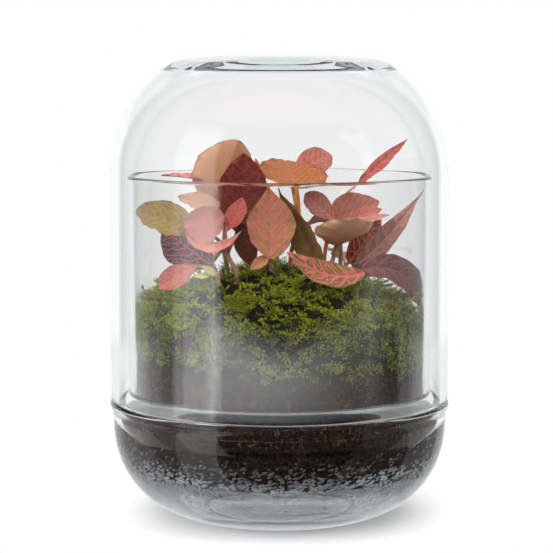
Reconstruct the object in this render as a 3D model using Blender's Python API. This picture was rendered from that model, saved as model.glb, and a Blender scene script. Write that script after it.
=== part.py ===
"""Closed glass plant terrarium, modelled in its own frame.

A round-bottomed glass vessel with a straight neck holds potting soil, a moss cushion and a
pink-leaved nerve plant. A tall glass cover stands upside down over the neck, on the vessel's ledge.

Lengths are written in millimetres and become metres in the meshes. The origin is the middle of
the foot, +Z is up and -Y is the front.
"""

import math
import random

import bmesh
import bpy
from mathutils import Matrix, Vector, noise
from mathutils.kdtree import KDTree

MM = 0.001
GAP = 0.3
SEGMENTS = 40
SMOOTH_ANGLE = math.radians(40)

# Vessel, outside
BELLY_RADIUS = 88.6
BELLY_HEIGHT = 51.0
BELLY_CURVE_WIDTH = 49.0
BELLY_CURVE_POWER = 2.1
FOOT_ANGLE = math.radians(84)
FLANGE_RADIUS = 90.4
FLANGE_HEIGHT = 59.6
LEDGE_HEIGHT = 61.7
LEDGE_EDGE_RADIUS = 88.6
NECK_RADIUS = 80.4
NECK_FILLET = 2.4
RIM_HEIGHT = 181.2

# Vessel, inside
NECK_WALL = 3.2
BOWL_RADIUS = 84.4
BOWL_HEIGHT = 55.0
BOWL_CURVE_WIDTH = 44.4
FLOOR_HEIGHT = 15.0
SHOULDER_TOP = 68.0

# Cover
COVER_RADIUS = 89.8
COVER_WALL = 4.0
COVER_BOTTOM = LEDGE_HEIGHT + GAP
COVER_SHOULDER_RADIUS = 66.4
COVER_SHOULDER_CENTRE = (22.8, 182.8)
COVER_SHOULDER_END = math.radians(60)
CROWN_HEIGHT = 244.0
CROWN_DROP = 1.9
CROWN_RADIUS = 50.0
CROWN_POWER = 3.2
INNER_CROWN_HEIGHT = 237.4
INNER_CROWN_RADIUS = 38.0

# Soil and moss
SOIL_TOP = 86.0
SOIL_TILT = 4.0
SOIL_LUMP = 0.6
SOIL_LUMP_WIDTH = 16.0
MOSS_EDGE_HEIGHT = 103.0
MOSS_RIM_HEIGHT = 109.5
MOSS_RIM_RADIUS = 72.0
MOSS_PEAK = 132.0
MOSS_LUMP = 3.6
MOSS_LUMP_WIDTH = 11.0
MOSS_TUFT = 3.6
MOSS_TUFT_WIDTH = 2.3
MOSS_SIDE_RELIEF = 2.4
SPRIG_COUNT = 140
SPRIG_LENGTH = (9.0, 13.0)
SPRIG_RADIUS = 1.3
SPRIG_DEPTH = 5.0
SPRIG_TAPER = 0.25
SPRIG_LEAF_CLEARANCE = 3.5
SPRIG_STEM_CLEARANCE = 5.0
SPRIG_REACH = 76.0

# Plant
BLADE_THICKNESS = 0.7
BLADE_STEPS = 6
BLADE_START = 0.03
BLADE_END = 0.97
BLADE_SPREAD = (-1.0, -0.5, 0.0, 0.5, 1.0)
NARROW_SPREAD = (-1.0, 0.0, 1.0)
NARROW_WIDTH = 12.0
STEM_RADIUS = 1.4
STALK_RADIUS = 0.9
STEM_FOOT = 72.0
STEM_SIDES = 5
STALK_SIDES = 4
HOLE_CLEARANCE = 0.5
HOLE_TOP = 160.0

GLASS = (0.80, 0.88, 0.89)
SOIL_BROWN = (0.035, 0.026, 0.020)
MOSS_GREEN = (0.13, 0.20, 0.03)

# Each stem gives where it stands, where it forks, its colour and its leaves.
# Each leaf gives its base and tip, its width, the way its upper side faces, how far its middle
# bows from the straight line, its cup and fold in degrees, its twist in degrees, its widest
# place along the length, how blunt its base and tip are and the radius of its stalk.
STEMS = {
    "fittonia_stem_back_left": {
        "foot": (-16, 14), "fork": (-17, 12, 148), "colour": (0.50, 0.25, 0.14),
        "leaves": [
            {"base": (-38, 24, 160.5), "tip": (-22, 13, 199), "width": 37.5, "faces": (0.1, 1, 0.3),
             "bow": (0, -3, -0.5), "cup": 38, "widest": 0.46, "blunt": 0.5, "point": 0.6},
            {"base": (-20, 0, 149), "tip": (-19, 10, 192), "width": 27, "faces": (0, -1, 0.1),
             "bow": (0, 1, 0), "cup": 20, "widest": 0.52, "blunt": 0.5, "point": 0.8},
            {"base": (-11, 14, 164), "tip": (-13, 16, 189), "width": 8, "faces": (0.3, -1, 0.1),
             "bow": (1, 0, 0), "cup": 40, "widest": 0.45},
            {"base": (-41, 20, 177), "tip": (-65, 26, 179), "width": 12, "faces": (0, -0.15, 1),
             "bow": (0, 0, 0.5), "cup": 25, "widest": 0.45},
        ],
    },
    "fittonia_stem_back_centre": {
        "foot": (6, 8), "fork": (10, -2, 158), "colour": (0.60, 0.22, 0.05),
        "leaves": [
            {"base": (9, -5, 174), "tip": (3, 24, 187.5), "width": 38, "faces": (0.2, -0.45, 0.87),
             "bow": (0, 0, 1), "cup": 22, "widest": 0.32, "blunt": 0.42, "point": 0.6,
             "stalk": 1.4},
            {"base": (7, 15, 180), "tip": (28, 27, 190.5), "width": 17, "faces": (0.2, -0.75, 0.65),
             "bow": (0, 0, 1), "cup": 15, "widest": 0.6, "point": 0.5},
        ],
    },
    "fittonia_stem_rear": {
        "foot": (-2, 24), "fork": (-1, 26, 138), "colour": (0.40, 0.18, 0.14),
        "leaves": [
            {"base": (-8, 30, 142), "tip": (-24, 54, 148), "width": 20, "faces": (0.1, 0.5, 1),
             "bow": (0, 0, 4), "cup": 18, "widest": 0.48},
            {"base": (1, 32, 143), "tip": (3, 62, 147), "width": 21, "faces": (0, 0.4, 1),
             "bow": (0, 0, 4), "cup": 18, "widest": 0.48},
            {"base": (6, 28, 145), "tip": (30, 50, 152), "width": 18, "faces": (-0.1, 0.5, 1),
             "bow": (0, 0, 4), "cup": 18, "widest": 0.48},
        ],
    },
    "fittonia_stem_rear_left": {
        "foot": (-36, 28), "fork": (-37, 31, 130), "colour": (0.20, 0.20, 0.06),
        "leaves": [
            {"base": (-41, 28, 132), "tip": (-61, 34, 135), "width": 18, "faces": (-0.4, 0.2, 1),
             "bow": (0, 0, 4), "cup": 18, "widest": 0.48},
            {"base": (-39, 36, 132), "tip": (-46, 57, 131), "width": 19, "faces": (-0.1, 0.5, 1),
             "bow": (0, 0, 4), "cup": 18, "widest": 0.48},
        ],
    },
    "fittonia_stem_rear_right": {
        "foot": (36, 33), "fork": (37, 35, 130), "colour": (0.45, 0.16, 0.15),
        "leaves": [
            {"base": (41, 34, 131), "tip": (60, 37, 132), "width": 17, "faces": (0.4, 0.1, 1),
             "bow": (0, 0, 4), "cup": 18, "widest": 0.48},
            {"base": (36, 40, 132), "tip": (38, 61, 131), "width": 19, "faces": (0.1, 0.6, 1),
             "bow": (0, 0, 4), "cup": 18, "widest": 0.48},
        ],
    },
    "fittonia_stem_upright_right": {
        "foot": (24, 18), "fork": (28, 20, 160), "colour": (0.55, 0.12, 0.10),
        "leaves": [
            {"base": (42.8, 22, 174.6), "tip": (70.5, 26, 199.5), "width": 7.4, "faces": (-0.4, -1, 0.4),
             "bow": (-0.5, 0, -0.5), "cup": 20, "fold": 6, "widest": 0.45, "point": 1},
        ],
    },
    "fittonia_stem_left": {
        "foot": (-28, 3), "fork": (-30, 5, 142), "colour": (0.26, 0.24, 0.06),
        "leaves": [
            {"base": (-45, -8, 153.5), "tip": (-74.8, -14.5, 163), "width": 23,
             "faces": (-0.1, -0.7, 0.7), "bow": (0, 0, 0), "cup": 20, "widest": 0.45,
             "point": 0.5},
            {"base": (-36, 3, 132), "tip": (-62.5, 5, 152), "width": 26, "faces": (-0.3, -0.75, 0.5),
             "bow": (0, 0, 0), "cup": 20, "widest": 0.55, "blunt": 0.6, "point": 0.6},
            {"base": (-31, 8, 164), "tip": (-55, 10, 169), "width": 14, "faces": (0, -0.6, 0.8),
             "bow": (0, 0, -1), "cup": 30, "widest": 0.5},
        ],
    },
    "fittonia_stem_left_front": {
        "foot": (-22, -14), "fork": (-27, -15, 141), "colour": (0.62, 0.22, 0.22),
        "leaves": [
            {"base": (-36, -21, 146.5), "tip": (-42, -8, 164.5), "width": 23, "faces": (0, -1, 0.3),
             "bow": (0, 2, 0), "cup": 25, "widest": 0.55, "blunt": 0.5, "point": 0.5},
            {"base": (-20, -20, 153), "tip": (-48, -22, 151), "width": 9, "faces": (0, -0.6, 0.8),
             "bow": (0, -1, -8), "cup": 30, "widest": 0.6, "point": 0.5},
            {"base": (-29, -15, 152.5), "tip": (-20, -8, 169.5), "width": 11, "faces": (-0.4, -1, 0.2),
             "bow": (2, 0, 0), "cup": 25, "widest": 0.5},
        ],
    },
    "fittonia_stem_front_centre": {
        "foot": (-4, -13), "fork": (-6, -14, 136), "colour": (0.55, 0.25, 0.20),
        "leaves": [
            {"base": (-5, -22, 138.5), "tip": (-6, -5, 176.5), "width": 26, "faces": (0.05, -1, 0.3),
             "bow": (1, 2, 0), "cup": 22, "widest": 0.42, "point": 1.5},
            {"base": (-13, -11, 133.5), "tip": (-20, -11, 157), "width": 13,
             "faces": (-0.4, -1, 0), "bow": (-1, 0, 0), "cup": 25, "widest": 0.5},
            {"base": (-5, -20, 140), "tip": (-15, -23, 133), "width": 7, "faces": (0.5, -0.5, 0.8),
             "bow": (0, 0, 0), "cup": 30, "widest": 0.5},
        ],
    },
    "fittonia_stem_low_left": {
        "foot": (-32, -19), "fork": (-34, -19, 132), "colour": (0.52, 0.20, 0.17),
        "leaves": [
            {"base": (-42, -16, 134.5), "tip": (-62.5, -17, 123), "width": 15,
             "faces": (-0.2, -0.8, 0.6), "bow": (0, 0, 0.5), "cup": 18, "widest": 0.62,
             "point": 0.5},
            {"base": (-32, -24, 130), "tip": (-40, -26, 135), "width": 5, "faces": (0.2, -0.8, 0.6),
             "bow": (0, 0, 0), "cup": 20, "widest": 0.5},
            {"base": (-36, -25, 130), "tip": (-44, -28, 130), "width": 5, "faces": (0, -0.6, 0.8),
             "bow": (0, 0, 0), "cup": 20, "widest": 0.5},
        ],
    },
    "fittonia_stem_right_olive": {
        "foot": (16, -12), "fork": (18, -12, 132), "colour": (0.16, 0.12, 0.05),
        "leaves": [
            {"base": (21, -12, 134), "tip": (-1, -2, 174), "width": 16,
             "faces": (-0.5, -0.8, 0.2), "bow": (0, 0, 0), "cup": 25, "fold": 10,
             "widest": 0.32, "point": 1.2},
        ],
    },
    "fittonia_stem_right_back": {
        "foot": (33, 11), "fork": (33, 11, 145), "colour": (0.36, 0.16, 0.15),
        "leaves": [
            {"base": (30, 7, 156.5), "tip": (13.5, 7, 170.5), "width": 13.5, "faces": (-0.2, -0.8, 0.7),
             "bow": (0, 0, 0), "cup": 20, "widest": 0.6, "blunt": 0.6, "point": 0.55},
            {"base": (28, 11, 155), "tip": (54.5, 16, 166), "width": 22.5, "faces": (0, -0.8, 0.6),
             "bow": (-1, 0, 0.5), "cup": 20, "widest": 0.45, "point": 0.9},
            {"base": (35, 4, 156), "tip": (55, 6, 162.5), "width": 12, "faces": (0, -0.6, 0.85),
             "bow": (0, 0, 0.5), "cup": 20, "widest": 0.5},
        ],
    },
    "fittonia_stem_right_cup": {
        "foot": (27, -5), "fork": (29, -5, 140), "colour": (0.45, 0.28, 0.16),
        "leaves": [
            {"base": (30, -5, 144), "tip": (41, -22, 160), "width": 38, "faces": (-0.35, 0.6, 0.8),
             "bow": (0, -1, -2), "cup": 35, "widest": 0.5, "blunt": 0.6, "point": 0.6,
             "stalk": 1.7},
            {"base": (37, -10, 157), "tip": (57, -14, 161), "width": 7, "faces": (0.1, -0.4, 1),
             "bow": (0, 0, -1), "cup": 30, "widest": 0.6},
        ],
    },
    "fittonia_stem_far_right": {
        "foot": (40, 2), "fork": (40, 2, 132), "colour": (0.33, 0.11, 0.11),
        "leaves": [
            {"base": (40.5, 0, 133), "tip": (75.3, -14, 174.5), "width": 12.5,
             "faces": (-0.4, -1, 0.2), "bow": (-1, 0, -4.8), "cup": 15, "fold": 6,
             "widest": 0.42, "point": 1.5},
            {"base": (37, 2, 134), "tip": (54.5, 6, 157), "width": 14, "faces": (-0.2, -1, 0.3),
             "bow": (0, 0, 0), "cup": 20, "widest": 0.45},
        ],
    },
    "fittonia_stem_front_right": {
        "foot": (39, -31), "fork": (40, -34, 131), "colour": (0.22, 0.20, 0.05),
        "leaves": [
            {"base": (43, -36, 133), "tip": (4, -44, 144.5), "width": 15, "faces": (0, -0.8, 0.6),
             "bow": (0, -2, -6), "cup": 15, "widest": 0.45},
            {"base": (38, -33, 133), "tip": (72.8, -14, 113), "width": 18.5,
             "faces": (0.1, -0.8, 0.6), "bow": (5.6, -2, 9), "cup": 15, "widest": 0.55,
             "blunt": 0.45},
        ],
    },
}

LEAF_DEFAULTS = {"fold": 0.0, "twist": 0.0, "blunt": 0.7, "point": 0.8, "stalk": STALK_RADIUS}


def clear_scene():
    """Remove what the file holds before the model is made."""
    for old in list(bpy.data.objects):
        bpy.data.objects.remove(old, do_unlink=True)


def make_material(name, colour, roughness, transmission=0.0):
    """Principled material with one plain colour."""
    material = bpy.data.materials.new(name)
    material.use_nodes = True
    shader = material.node_tree.nodes["Principled BSDF"]
    shader.inputs["Base Color"].default_value = (*colour, 1.0)
    shader.inputs["Roughness"].default_value = roughness
    shader.inputs["Metallic"].default_value = 0.0
    shader.inputs["Transmission Weight"].default_value = transmission
    return material


def add_object(name, mesh, material):
    """Link a mesh to the scene as one smooth-shaded object."""
    piece = bpy.data.objects.new(name, mesh)
    bpy.context.scene.collection.objects.link(piece)
    mesh.materials.clear()
    mesh.materials.append(material)
    mesh.shade_smooth()
    mesh.set_sharp_from_angle(angle=SMOOTH_ANGLE)
    return piece


def object_from_bmesh(name, bm, material):
    """Turn a bmesh in millimetres into an object in metres."""
    bmesh.ops.scale(bm, vec=(MM, MM, MM), verts=bm.verts)
    bmesh.ops.recalc_face_normals(bm, faces=bm.faces)
    mesh = bpy.data.meshes.new(name)
    bm.to_mesh(mesh)
    bm.free()
    return add_object(name, mesh, material)


def arc(centre, radii, start, end, steps):
    """Points on an ellipse's arc, as (radius, height) pairs."""
    points = []
    for i in range(steps + 1):
        angle = start + (end - start) * i / steps
        points.append((centre[0] + radii[0] * math.cos(angle),
                       centre[1] + radii[1] * math.sin(angle)))
    return points


def turn(profile):
    """Spin a profile of (radius, height) pairs once about the Z axis."""
    bm = bmesh.new()
    corners = [bm.verts.new((radius, 0.0, height)) for radius, height in profile]
    edges = [bm.edges.new(pair) for pair in zip(corners, corners[1:])]
    bmesh.ops.spin(bm, geom=corners + edges, cent=(0, 0, 0), axis=(0, 0, 1),
                   angle=math.tau, steps=SEGMENTS, use_merge=True)
    bmesh.ops.remove_doubles(bm, verts=bm.verts, dist=0.001)
    return bm


def combine(base, others, operation, solver="EXACT"):
    """Join or cut one object with a collection of others, which are then removed."""
    group = bpy.data.collections.new(base.name + "_tools")
    bpy.context.scene.collection.children.link(group)
    for other in others:
        group.objects.link(other)
    boolean = base.modifiers.new(operation.lower(), "BOOLEAN")
    boolean.operation = operation
    boolean.solver = solver
    boolean.operand_type = "COLLECTION"
    boolean.collection = group
    bpy.context.view_layer.update()
    shape = base.evaluated_get(bpy.context.evaluated_depsgraph_get())
    result = bpy.data.meshes.new_from_object(shape)
    base.modifiers.clear()
    material = base.data.materials[0]
    base.data = result
    result.materials.clear()
    result.materials.append(material)
    for other in others:
        bpy.data.objects.remove(other, do_unlink=True)
    bpy.data.collections.remove(group)
    result.shade_smooth()
    result.set_sharp_from_angle(angle=SMOOTH_ANGLE)


def belly_outline():
    """Outer curve of the bowl, from its widest place down to the foot."""
    steps = 7
    points = []
    for i in range(steps + 1):
        angle = FOOT_ANGLE * i / steps
        inward = 1.0 - math.cos(angle) ** (2.0 / BELLY_CURVE_POWER)
        down = math.sin(angle) ** (2.0 / BELLY_CURVE_POWER)
        points.append((BELLY_RADIUS - BELLY_CURVE_WIDTH * inward, BELLY_HEIGHT * (1.0 - down)))
    foot_radius = points[-1][0]
    points[-1] = (foot_radius, 0.0)
    return points


def bowl_inside(offset):
    """Inner curve of the bowl from its floor to the neck, moved inwards by an offset."""
    centre = (BOWL_RADIUS - BOWL_CURVE_WIDTH, BOWL_HEIGHT)
    radii = (BOWL_CURVE_WIDTH - offset, BOWL_HEIGHT - FLOOR_HEIGHT - offset)
    curve = arc(centre, radii, -math.pi / 2, 0.0, 5)
    neck_inside = NECK_RADIUS - NECK_WALL - offset
    shoulder = arc((neck_inside, BOWL_HEIGHT), (radii[0] + centre[0] - neck_inside,
                                                SHOULDER_TOP - BOWL_HEIGHT),
                   math.radians(30), math.radians(90), 2)
    return curve + shoulder


def make_vessel():
    """One blown piece: foot, bowl, ledge, neck and rounded rim."""
    neck_inside = NECK_RADIUS - NECK_WALL
    rim_radius = NECK_WALL / 2
    profile = [(0.0, FLOOR_HEIGHT)] + bowl_inside(0.0)
    profile += arc((neck_inside + rim_radius, RIM_HEIGHT - rim_radius),
                   (rim_radius, rim_radius), math.pi, 0.0, 4)
    profile += arc((NECK_RADIUS + NECK_FILLET, LEDGE_HEIGHT + NECK_FILLET),
                   (NECK_FILLET, NECK_FILLET), math.pi, 1.5 * math.pi, 2)
    profile += [(LEDGE_EDGE_RADIUS, LEDGE_HEIGHT), (FLANGE_RADIUS - 0.3, FLANGE_HEIGHT + 1.3),
                (FLANGE_RADIUS, FLANGE_HEIGHT), (BELLY_RADIUS + 0.6, FLANGE_HEIGHT - 3.0)]
    profile += belly_outline() + [(0.0, 0.0)]
    material = make_material("vessel_glass", GLASS, 0.02, 0.9)
    return object_from_bmesh("glass_vessel", turn(profile), material)


def make_cover():
    """Tall bell of glass with round shoulders and a thick, nearly flat crown."""
    crown = [(CROWN_RADIUS * step, CROWN_HEIGHT - CROWN_DROP * step ** CROWN_POWER)
             for step in (0.0, 0.4, 0.7, 0.88, 1.0)]
    reach = COVER_SHOULDER_RADIUS
    shoulder = arc(COVER_SHOULDER_CENTRE, (reach, reach), COVER_SHOULDER_END, 0.0, 6)
    inner_reach = reach - COVER_WALL
    inner = arc(COVER_SHOULDER_CENTRE, (inner_reach, inner_reach), 0.0, math.radians(50), 5)
    corner_radius = INNER_CROWN_RADIUS + 10.0
    inner += [(corner_radius, INNER_CROWN_HEIGHT - 1.2), (INNER_CROWN_RADIUS, INNER_CROWN_HEIGHT)]
    lip = COVER_WALL * 0.25
    edge = [(COVER_RADIUS, COVER_BOTTOM + lip), (COVER_RADIUS - lip, COVER_BOTTOM),
            (COVER_RADIUS - COVER_WALL + lip, COVER_BOTTOM),
            (COVER_RADIUS - COVER_WALL, COVER_BOTTOM + lip)]
    profile = crown + shoulder + edge + inner + [(0.0, INNER_CROWN_HEIGHT)]
    material = make_material("cover_glass", GLASS, 0.02, 0.9)
    return object_from_bmesh("glass_cover", turn(profile), material)


def soil_surface(x, y):
    """Height of the soil, higher on the left, with low lumps."""
    lump = noise.noise(Vector((x, y, 0.0)) / SOIL_LUMP_WIDTH) * SOIL_LUMP
    return SOIL_TOP - SOIL_TILT * x / NECK_RADIUS + lump


def moss_surface(x, y):
    """Height of the moss mound, with soft lumps and the relief of its tufts."""
    radius = math.hypot(x, y)
    rise = (MOSS_PEAK - MOSS_RIM_HEIGHT) * (1.0 - (radius / MOSS_RIM_RADIUS) ** 2)
    lump = noise.noise(Vector((x, y, 1.0)) / MOSS_LUMP_WIDTH) * MOSS_LUMP
    tuft = noise.noise(Vector((x, y, 3.0)) / MOSS_TUFT_WIDTH) * MOSS_TUFT
    return MOSS_RIM_HEIGHT + rise + lump + tuft


def lay_surface(bm, level, surface, offset=0.0):
    """Move the vertices at one level onto a surface given by a height formula."""
    for vertex in bm.verts:
        if abs(vertex.co.z - level) < 0.001:
            vertex.co.z = surface(vertex.co.x, vertex.co.y) + offset


def stem_holes(bottom):
    """Plain round holes for the stems, as cutters."""
    cutters = []
    material = make_material("hole", SOIL_BROWN, 1.0)
    for stem in STEMS.values():
        bm = bmesh.new()
        place = Matrix.Translation((*stem["foot"], (bottom + HOLE_TOP) / 2))
        bmesh.ops.create_cone(bm, cap_ends=True, segments=8, depth=HOLE_TOP - bottom,
                              radius1=STEM_RADIUS + HOLE_CLEARANCE,
                              radius2=STEM_RADIUS + HOLE_CLEARANCE, matrix=place)
        cutters.append(object_from_bmesh("hole", bm, material))
    return cutters


def make_soil():
    """Potting soil that fills the bowl and the lower neck."""
    inside = NECK_RADIUS - NECK_WALL - GAP
    profile = [(0.0, FLOOR_HEIGHT + GAP)] + bowl_inside(GAP)
    profile += [(radius, SOIL_TOP) for radius in (inside, inside * 0.7, inside * 0.4, 0.0)]
    bm = turn(profile)
    lay_surface(bm, SOIL_TOP, soil_surface)
    soil = object_from_bmesh("potting_soil", bm, make_material("soil", SOIL_BROWN, 0.95))
    combine(soil, stem_holes(STEM_FOOT - GAP), "DIFFERENCE")
    return soil


def moss_sprigs(leaf_points):
    """Upright sprigs over the mound, kept clear of the leaves."""
    rng = random.Random(11)
    tree = KDTree(len(leaf_points))
    for index, point in enumerate(leaf_points):
        tree.insert(point, index)
    tree.balance()
    material = make_material("sprig", MOSS_GREEN, 0.8)
    sprigs = []
    limit = MOSS_RIM_RADIUS + 1.0
    while len(sprigs) < SPRIG_COUNT:
        radius = limit * math.sqrt(rng.uniform(0.02, 1.0))
        angle = rng.uniform(0.0, math.tau)
        length = rng.uniform(*SPRIG_LENGTH)
        x, y = radius * math.cos(angle), radius * math.sin(angle)
        lean = Vector((x, y, 0.0)) / limit * 0.35
        lean += Vector((rng.uniform(-0.5, 0.5), rng.uniform(-0.5, 0.5), 1.0))
        direction = lean.normalized()
        middle = Vector((x, y, moss_surface(x, y))) + direction * (length * 0.5 - SPRIG_DEPTH)
        tip = middle + direction * length * 0.5
        near_stem = min(math.hypot(x - stem["foot"][0], y - stem["foot"][1])
                        for stem in STEMS.values())
        distance = min(tree.find(tip)[2], tree.find(middle)[2])
        if distance < SPRIG_LEAF_CLEARANCE or near_stem < SPRIG_STEM_CLEARANCE:
            continue
        if tip.xy.length > SPRIG_REACH:
            continue
        place = Matrix.Translation(middle) @ direction.to_track_quat("Z", "Y").to_matrix().to_4x4()
        bm = bmesh.new()
        bmesh.ops.create_cone(bm, cap_ends=True, segments=3, depth=length,
                              radius1=SPRIG_RADIUS, radius2=SPRIG_RADIUS * SPRIG_TAPER, matrix=place)
        sprigs.append(object_from_bmesh("sprig", bm, material))
    return sprigs


def make_moss(leaf_points):
    """Mound of sheet moss on the soil, with sprigs standing out of it."""
    inside = NECK_RADIUS - NECK_WALL - GAP
    base_level = SOIL_TOP + GAP
    profile = [(radius, base_level) for radius in (0.0, inside * 0.4, inside * 0.7, inside)]
    profile += [(inside, height) for height in (MOSS_EDGE_HEIGHT - 9.0, MOSS_EDGE_HEIGHT)]
    profile += [(inside - 1.6, MOSS_RIM_HEIGHT - 3.0)]
    profile += [(radius, MOSS_RIM_HEIGHT)
                for radius in (MOSS_RIM_RADIUS, 67, 61, 54, 46, 38, 29, 20, 10, 0)]
    bm = turn(profile)
    for vertex in bm.verts:
        if base_level + 1.0 < vertex.co.z < MOSS_RIM_HEIGHT - 1.0:
            pull = abs(noise.noise(vertex.co / 4.0)) * MOSS_SIDE_RELIEF
            vertex.co.xy *= 1.0 - pull / inside
    lay_surface(bm, base_level, soil_surface, 2 * GAP)
    lay_surface(bm, MOSS_RIM_HEIGHT, moss_surface)
    moss = object_from_bmesh("moss_cushion", bm, make_material("moss", MOSS_GREEN, 0.85))
    combine(moss, moss_sprigs(leaf_points), "UNION")
    combine(moss, stem_holes(SOIL_TOP - 20.0), "DIFFERENCE")
    return moss


def midrib(leaf, u):
    """Point and direction on the leaf's bowed midrib."""
    base, tip = Vector(leaf["base"]), Vector(leaf["tip"])
    control = (base + tip) / 2 + 2 * Vector(leaf["bow"])
    point = base * (1 - u) ** 2 + control * 2 * u * (1 - u) + tip * u ** 2
    direction = (control - base) * (1 - u) + (tip - control) * u
    return point, direction.normalized()


def half_width(leaf, u):
    """Half the blade's width: round at the base, running out to the tip."""
    stretch = math.log(0.5) / math.log(leaf["widest"])
    power = leaf["blunt"] + (leaf["point"] - leaf["blunt"]) * u
    return leaf["width"] / 2 * math.sin(math.pi * u ** stretch) ** power


def blade_point(leaf, u, v):
    """Point on the middle surface of a blade, and the surface's normal there."""
    point, along = midrib(leaf, u)
    faces = Vector(leaf["faces"])
    up = (faces - along * faces.dot(along)).normalized()
    up.rotate(Matrix.Rotation(math.radians(leaf["twist"]) * (u - 0.5), 3, along))
    side = along.cross(up)
    cup = math.radians(leaf["cup"])
    bend = cup * abs(v) + math.radians(leaf["fold"])
    reach = half_width(leaf, u)
    across = reach * math.sin(cup * abs(v)) / cup
    lift = reach * (1.0 - math.cos(cup * abs(v))) / cup
    fold = math.radians(leaf["fold"])
    flat = across * math.cos(fold) - lift * math.sin(fold)
    rise = across * math.sin(fold) + lift * math.cos(fold)
    sign = 1.0 if v >= 0 else -1.0
    normal = up * math.cos(bend) - side * (sign * math.sin(bend))
    return point + side * (sign * flat) + up * rise, normal


def make_blade(leaf, material):
    """Thin closed blade, with the same triangles on both faces."""
    bm = bmesh.new()
    spread = NARROW_SPREAD if leaf["width"] < NARROW_WIDTH else BLADE_SPREAD
    rows = []
    for i in range(BLADE_STEPS + 1):
        u = BLADE_START + (BLADE_END - BLADE_START) * i / BLADE_STEPS
        row = []
        for v in spread:
            point, normal = blade_point(leaf, u, v)
            half = normal * (BLADE_THICKNESS / 2)
            row.append((bm.verts.new(point + half), bm.verts.new(point - half)))
        rows.append(row)
    last = len(spread) - 1
    for near, far in zip(rows, rows[1:]):
        for j in range(last):
            for face, order in ((0, 1), (1, -1)):
                a, b = near[j][face], near[j + 1][face]
                c, d = far[j + 1][face], far[j][face]
                bm.faces.new((a, b, c)[::order])
                bm.faces.new((a, c, d)[::order])
        for j, order in ((0, -1), (last, 1)):
            bm.faces.new((near[j][0], near[j][1], far[j][1])[::order])
            bm.faces.new((near[j][0], far[j][1], far[j][0])[::order])
    for row, order in ((rows[0], 1), (rows[-1], -1)):
        for left, right in zip(row, row[1:]):
            bm.faces.new((left[0], left[1], right[1])[::order])
            bm.faces.new((left[0], right[1], right[0])[::order])
    return object_from_bmesh("blade", bm, material)


def curve_points(start, start_direction, end, end_direction, steps):
    """Smooth path between two points that leaves and arrives along given directions."""
    length = (end - start).length
    leave, arrive = start_direction * length, end_direction * length
    points = []
    for i in range(steps + 1):
        t = i / steps
        points.append(start * (2 * t ** 3 - 3 * t ** 2 + 1) + leave * (t ** 3 - 2 * t ** 2 + t)
                      + end * (3 * t ** 2 - 2 * t ** 3) + arrive * (t ** 3 - t ** 2))
    return points


def make_tube(points, start_radius, end_radius, sides, material):
    """Closed tube along a path, with its own radius at each end."""
    bm = bmesh.new()
    rings = []
    for i, point in enumerate(points):
        before, after = points[max(i - 1, 0)], points[min(i + 1, len(points) - 1)]
        turn_to = (after - before).to_track_quat("Z", "Y")
        radius = start_radius + (end_radius - start_radius) * i / (len(points) - 1)
        ring = []
        for k in range(sides):
            angle = math.tau * k / sides
            offset = Vector((radius * math.cos(angle), radius * math.sin(angle), 0.0))
            ring.append(bm.verts.new(point + turn_to @ offset))
        rings.append(ring)
    for near, far in zip(rings, rings[1:]):
        for k in range(sides):
            n = (k + 1) % sides
            bm.faces.new((near[k], near[n], far[n], far[k]))
    bm.faces.new(rings[0][::-1])
    bm.faces.new(rings[-1])
    return object_from_bmesh("tube", bm, material)


def make_stem(name, stem):
    """One leafy stem: stem, leaf stalks and blades grown together."""
    material = make_material(name, stem["colour"], 0.55)
    foot_x, foot_y = stem["foot"]
    fork = Vector(stem["fork"])
    upright = Vector((0.0, 0.0, 1.0))
    ground = moss_surface(foot_x, foot_y) + 2.0
    route = [Vector((foot_x, foot_y, STEM_FOOT)), Vector((foot_x, foot_y, ground))]
    if fork.z > ground + 1.0:
        route += curve_points(route[-1], upright, fork, upright, 3)[1:]
    body = make_tube(route, STEM_RADIUS, STEM_RADIUS * 0.85, STEM_SIDES, material)
    body.name = name
    body.data.name = name
    grown = []
    for leaf in stem["leaves"]:
        base, heading = midrib(leaf, 0.0)
        end = base + heading * 1.2
        start = route[-1] - upright * 0.8
        path = curve_points(start, upright * 0.7, end, heading * 0.7, 3)
        grown.append(make_tube(path, leaf["stalk"] * 1.2, leaf["stalk"], STALK_SIDES, material))
        grown.append(make_blade(leaf, material))
    combine(body, grown, "UNION", "MANIFOLD")
    return body


def leaf_cloud():
    """Points spread over every blade, which the moss sprigs stay clear of."""
    points = []
    for stem in STEMS.values():
        for leaf in stem["leaves"]:
            for i in range(2 * BLADE_STEPS + 1):
                u = BLADE_START + (BLADE_END - BLADE_START) * i / (2 * BLADE_STEPS)
                points += [blade_point(leaf, u, v)[0] for v in BLADE_SPREAD]
    return points


def main():
    clear_scene()
    for stem in STEMS.values():
        stem["leaves"] = [{**LEAF_DEFAULTS, **leaf} for leaf in stem["leaves"]]
    make_vessel()
    make_cover()
    make_soil()
    make_moss(leaf_cloud())
    for name, stem in STEMS.items():
        make_stem(name, stem)


main()
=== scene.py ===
"""Looks for a closed glass plant terrarium.

Clear blown glass, potting soil, moss and a pink-leaved nerve plant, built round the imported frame.
Lengths in the tables are millimetres and become metres in the meshes. +Z is up and -Y is the front.
"""

import math
import random

import bmesh
import bpy
import numpy as np
from mathutils import Matrix, Vector, noise


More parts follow.
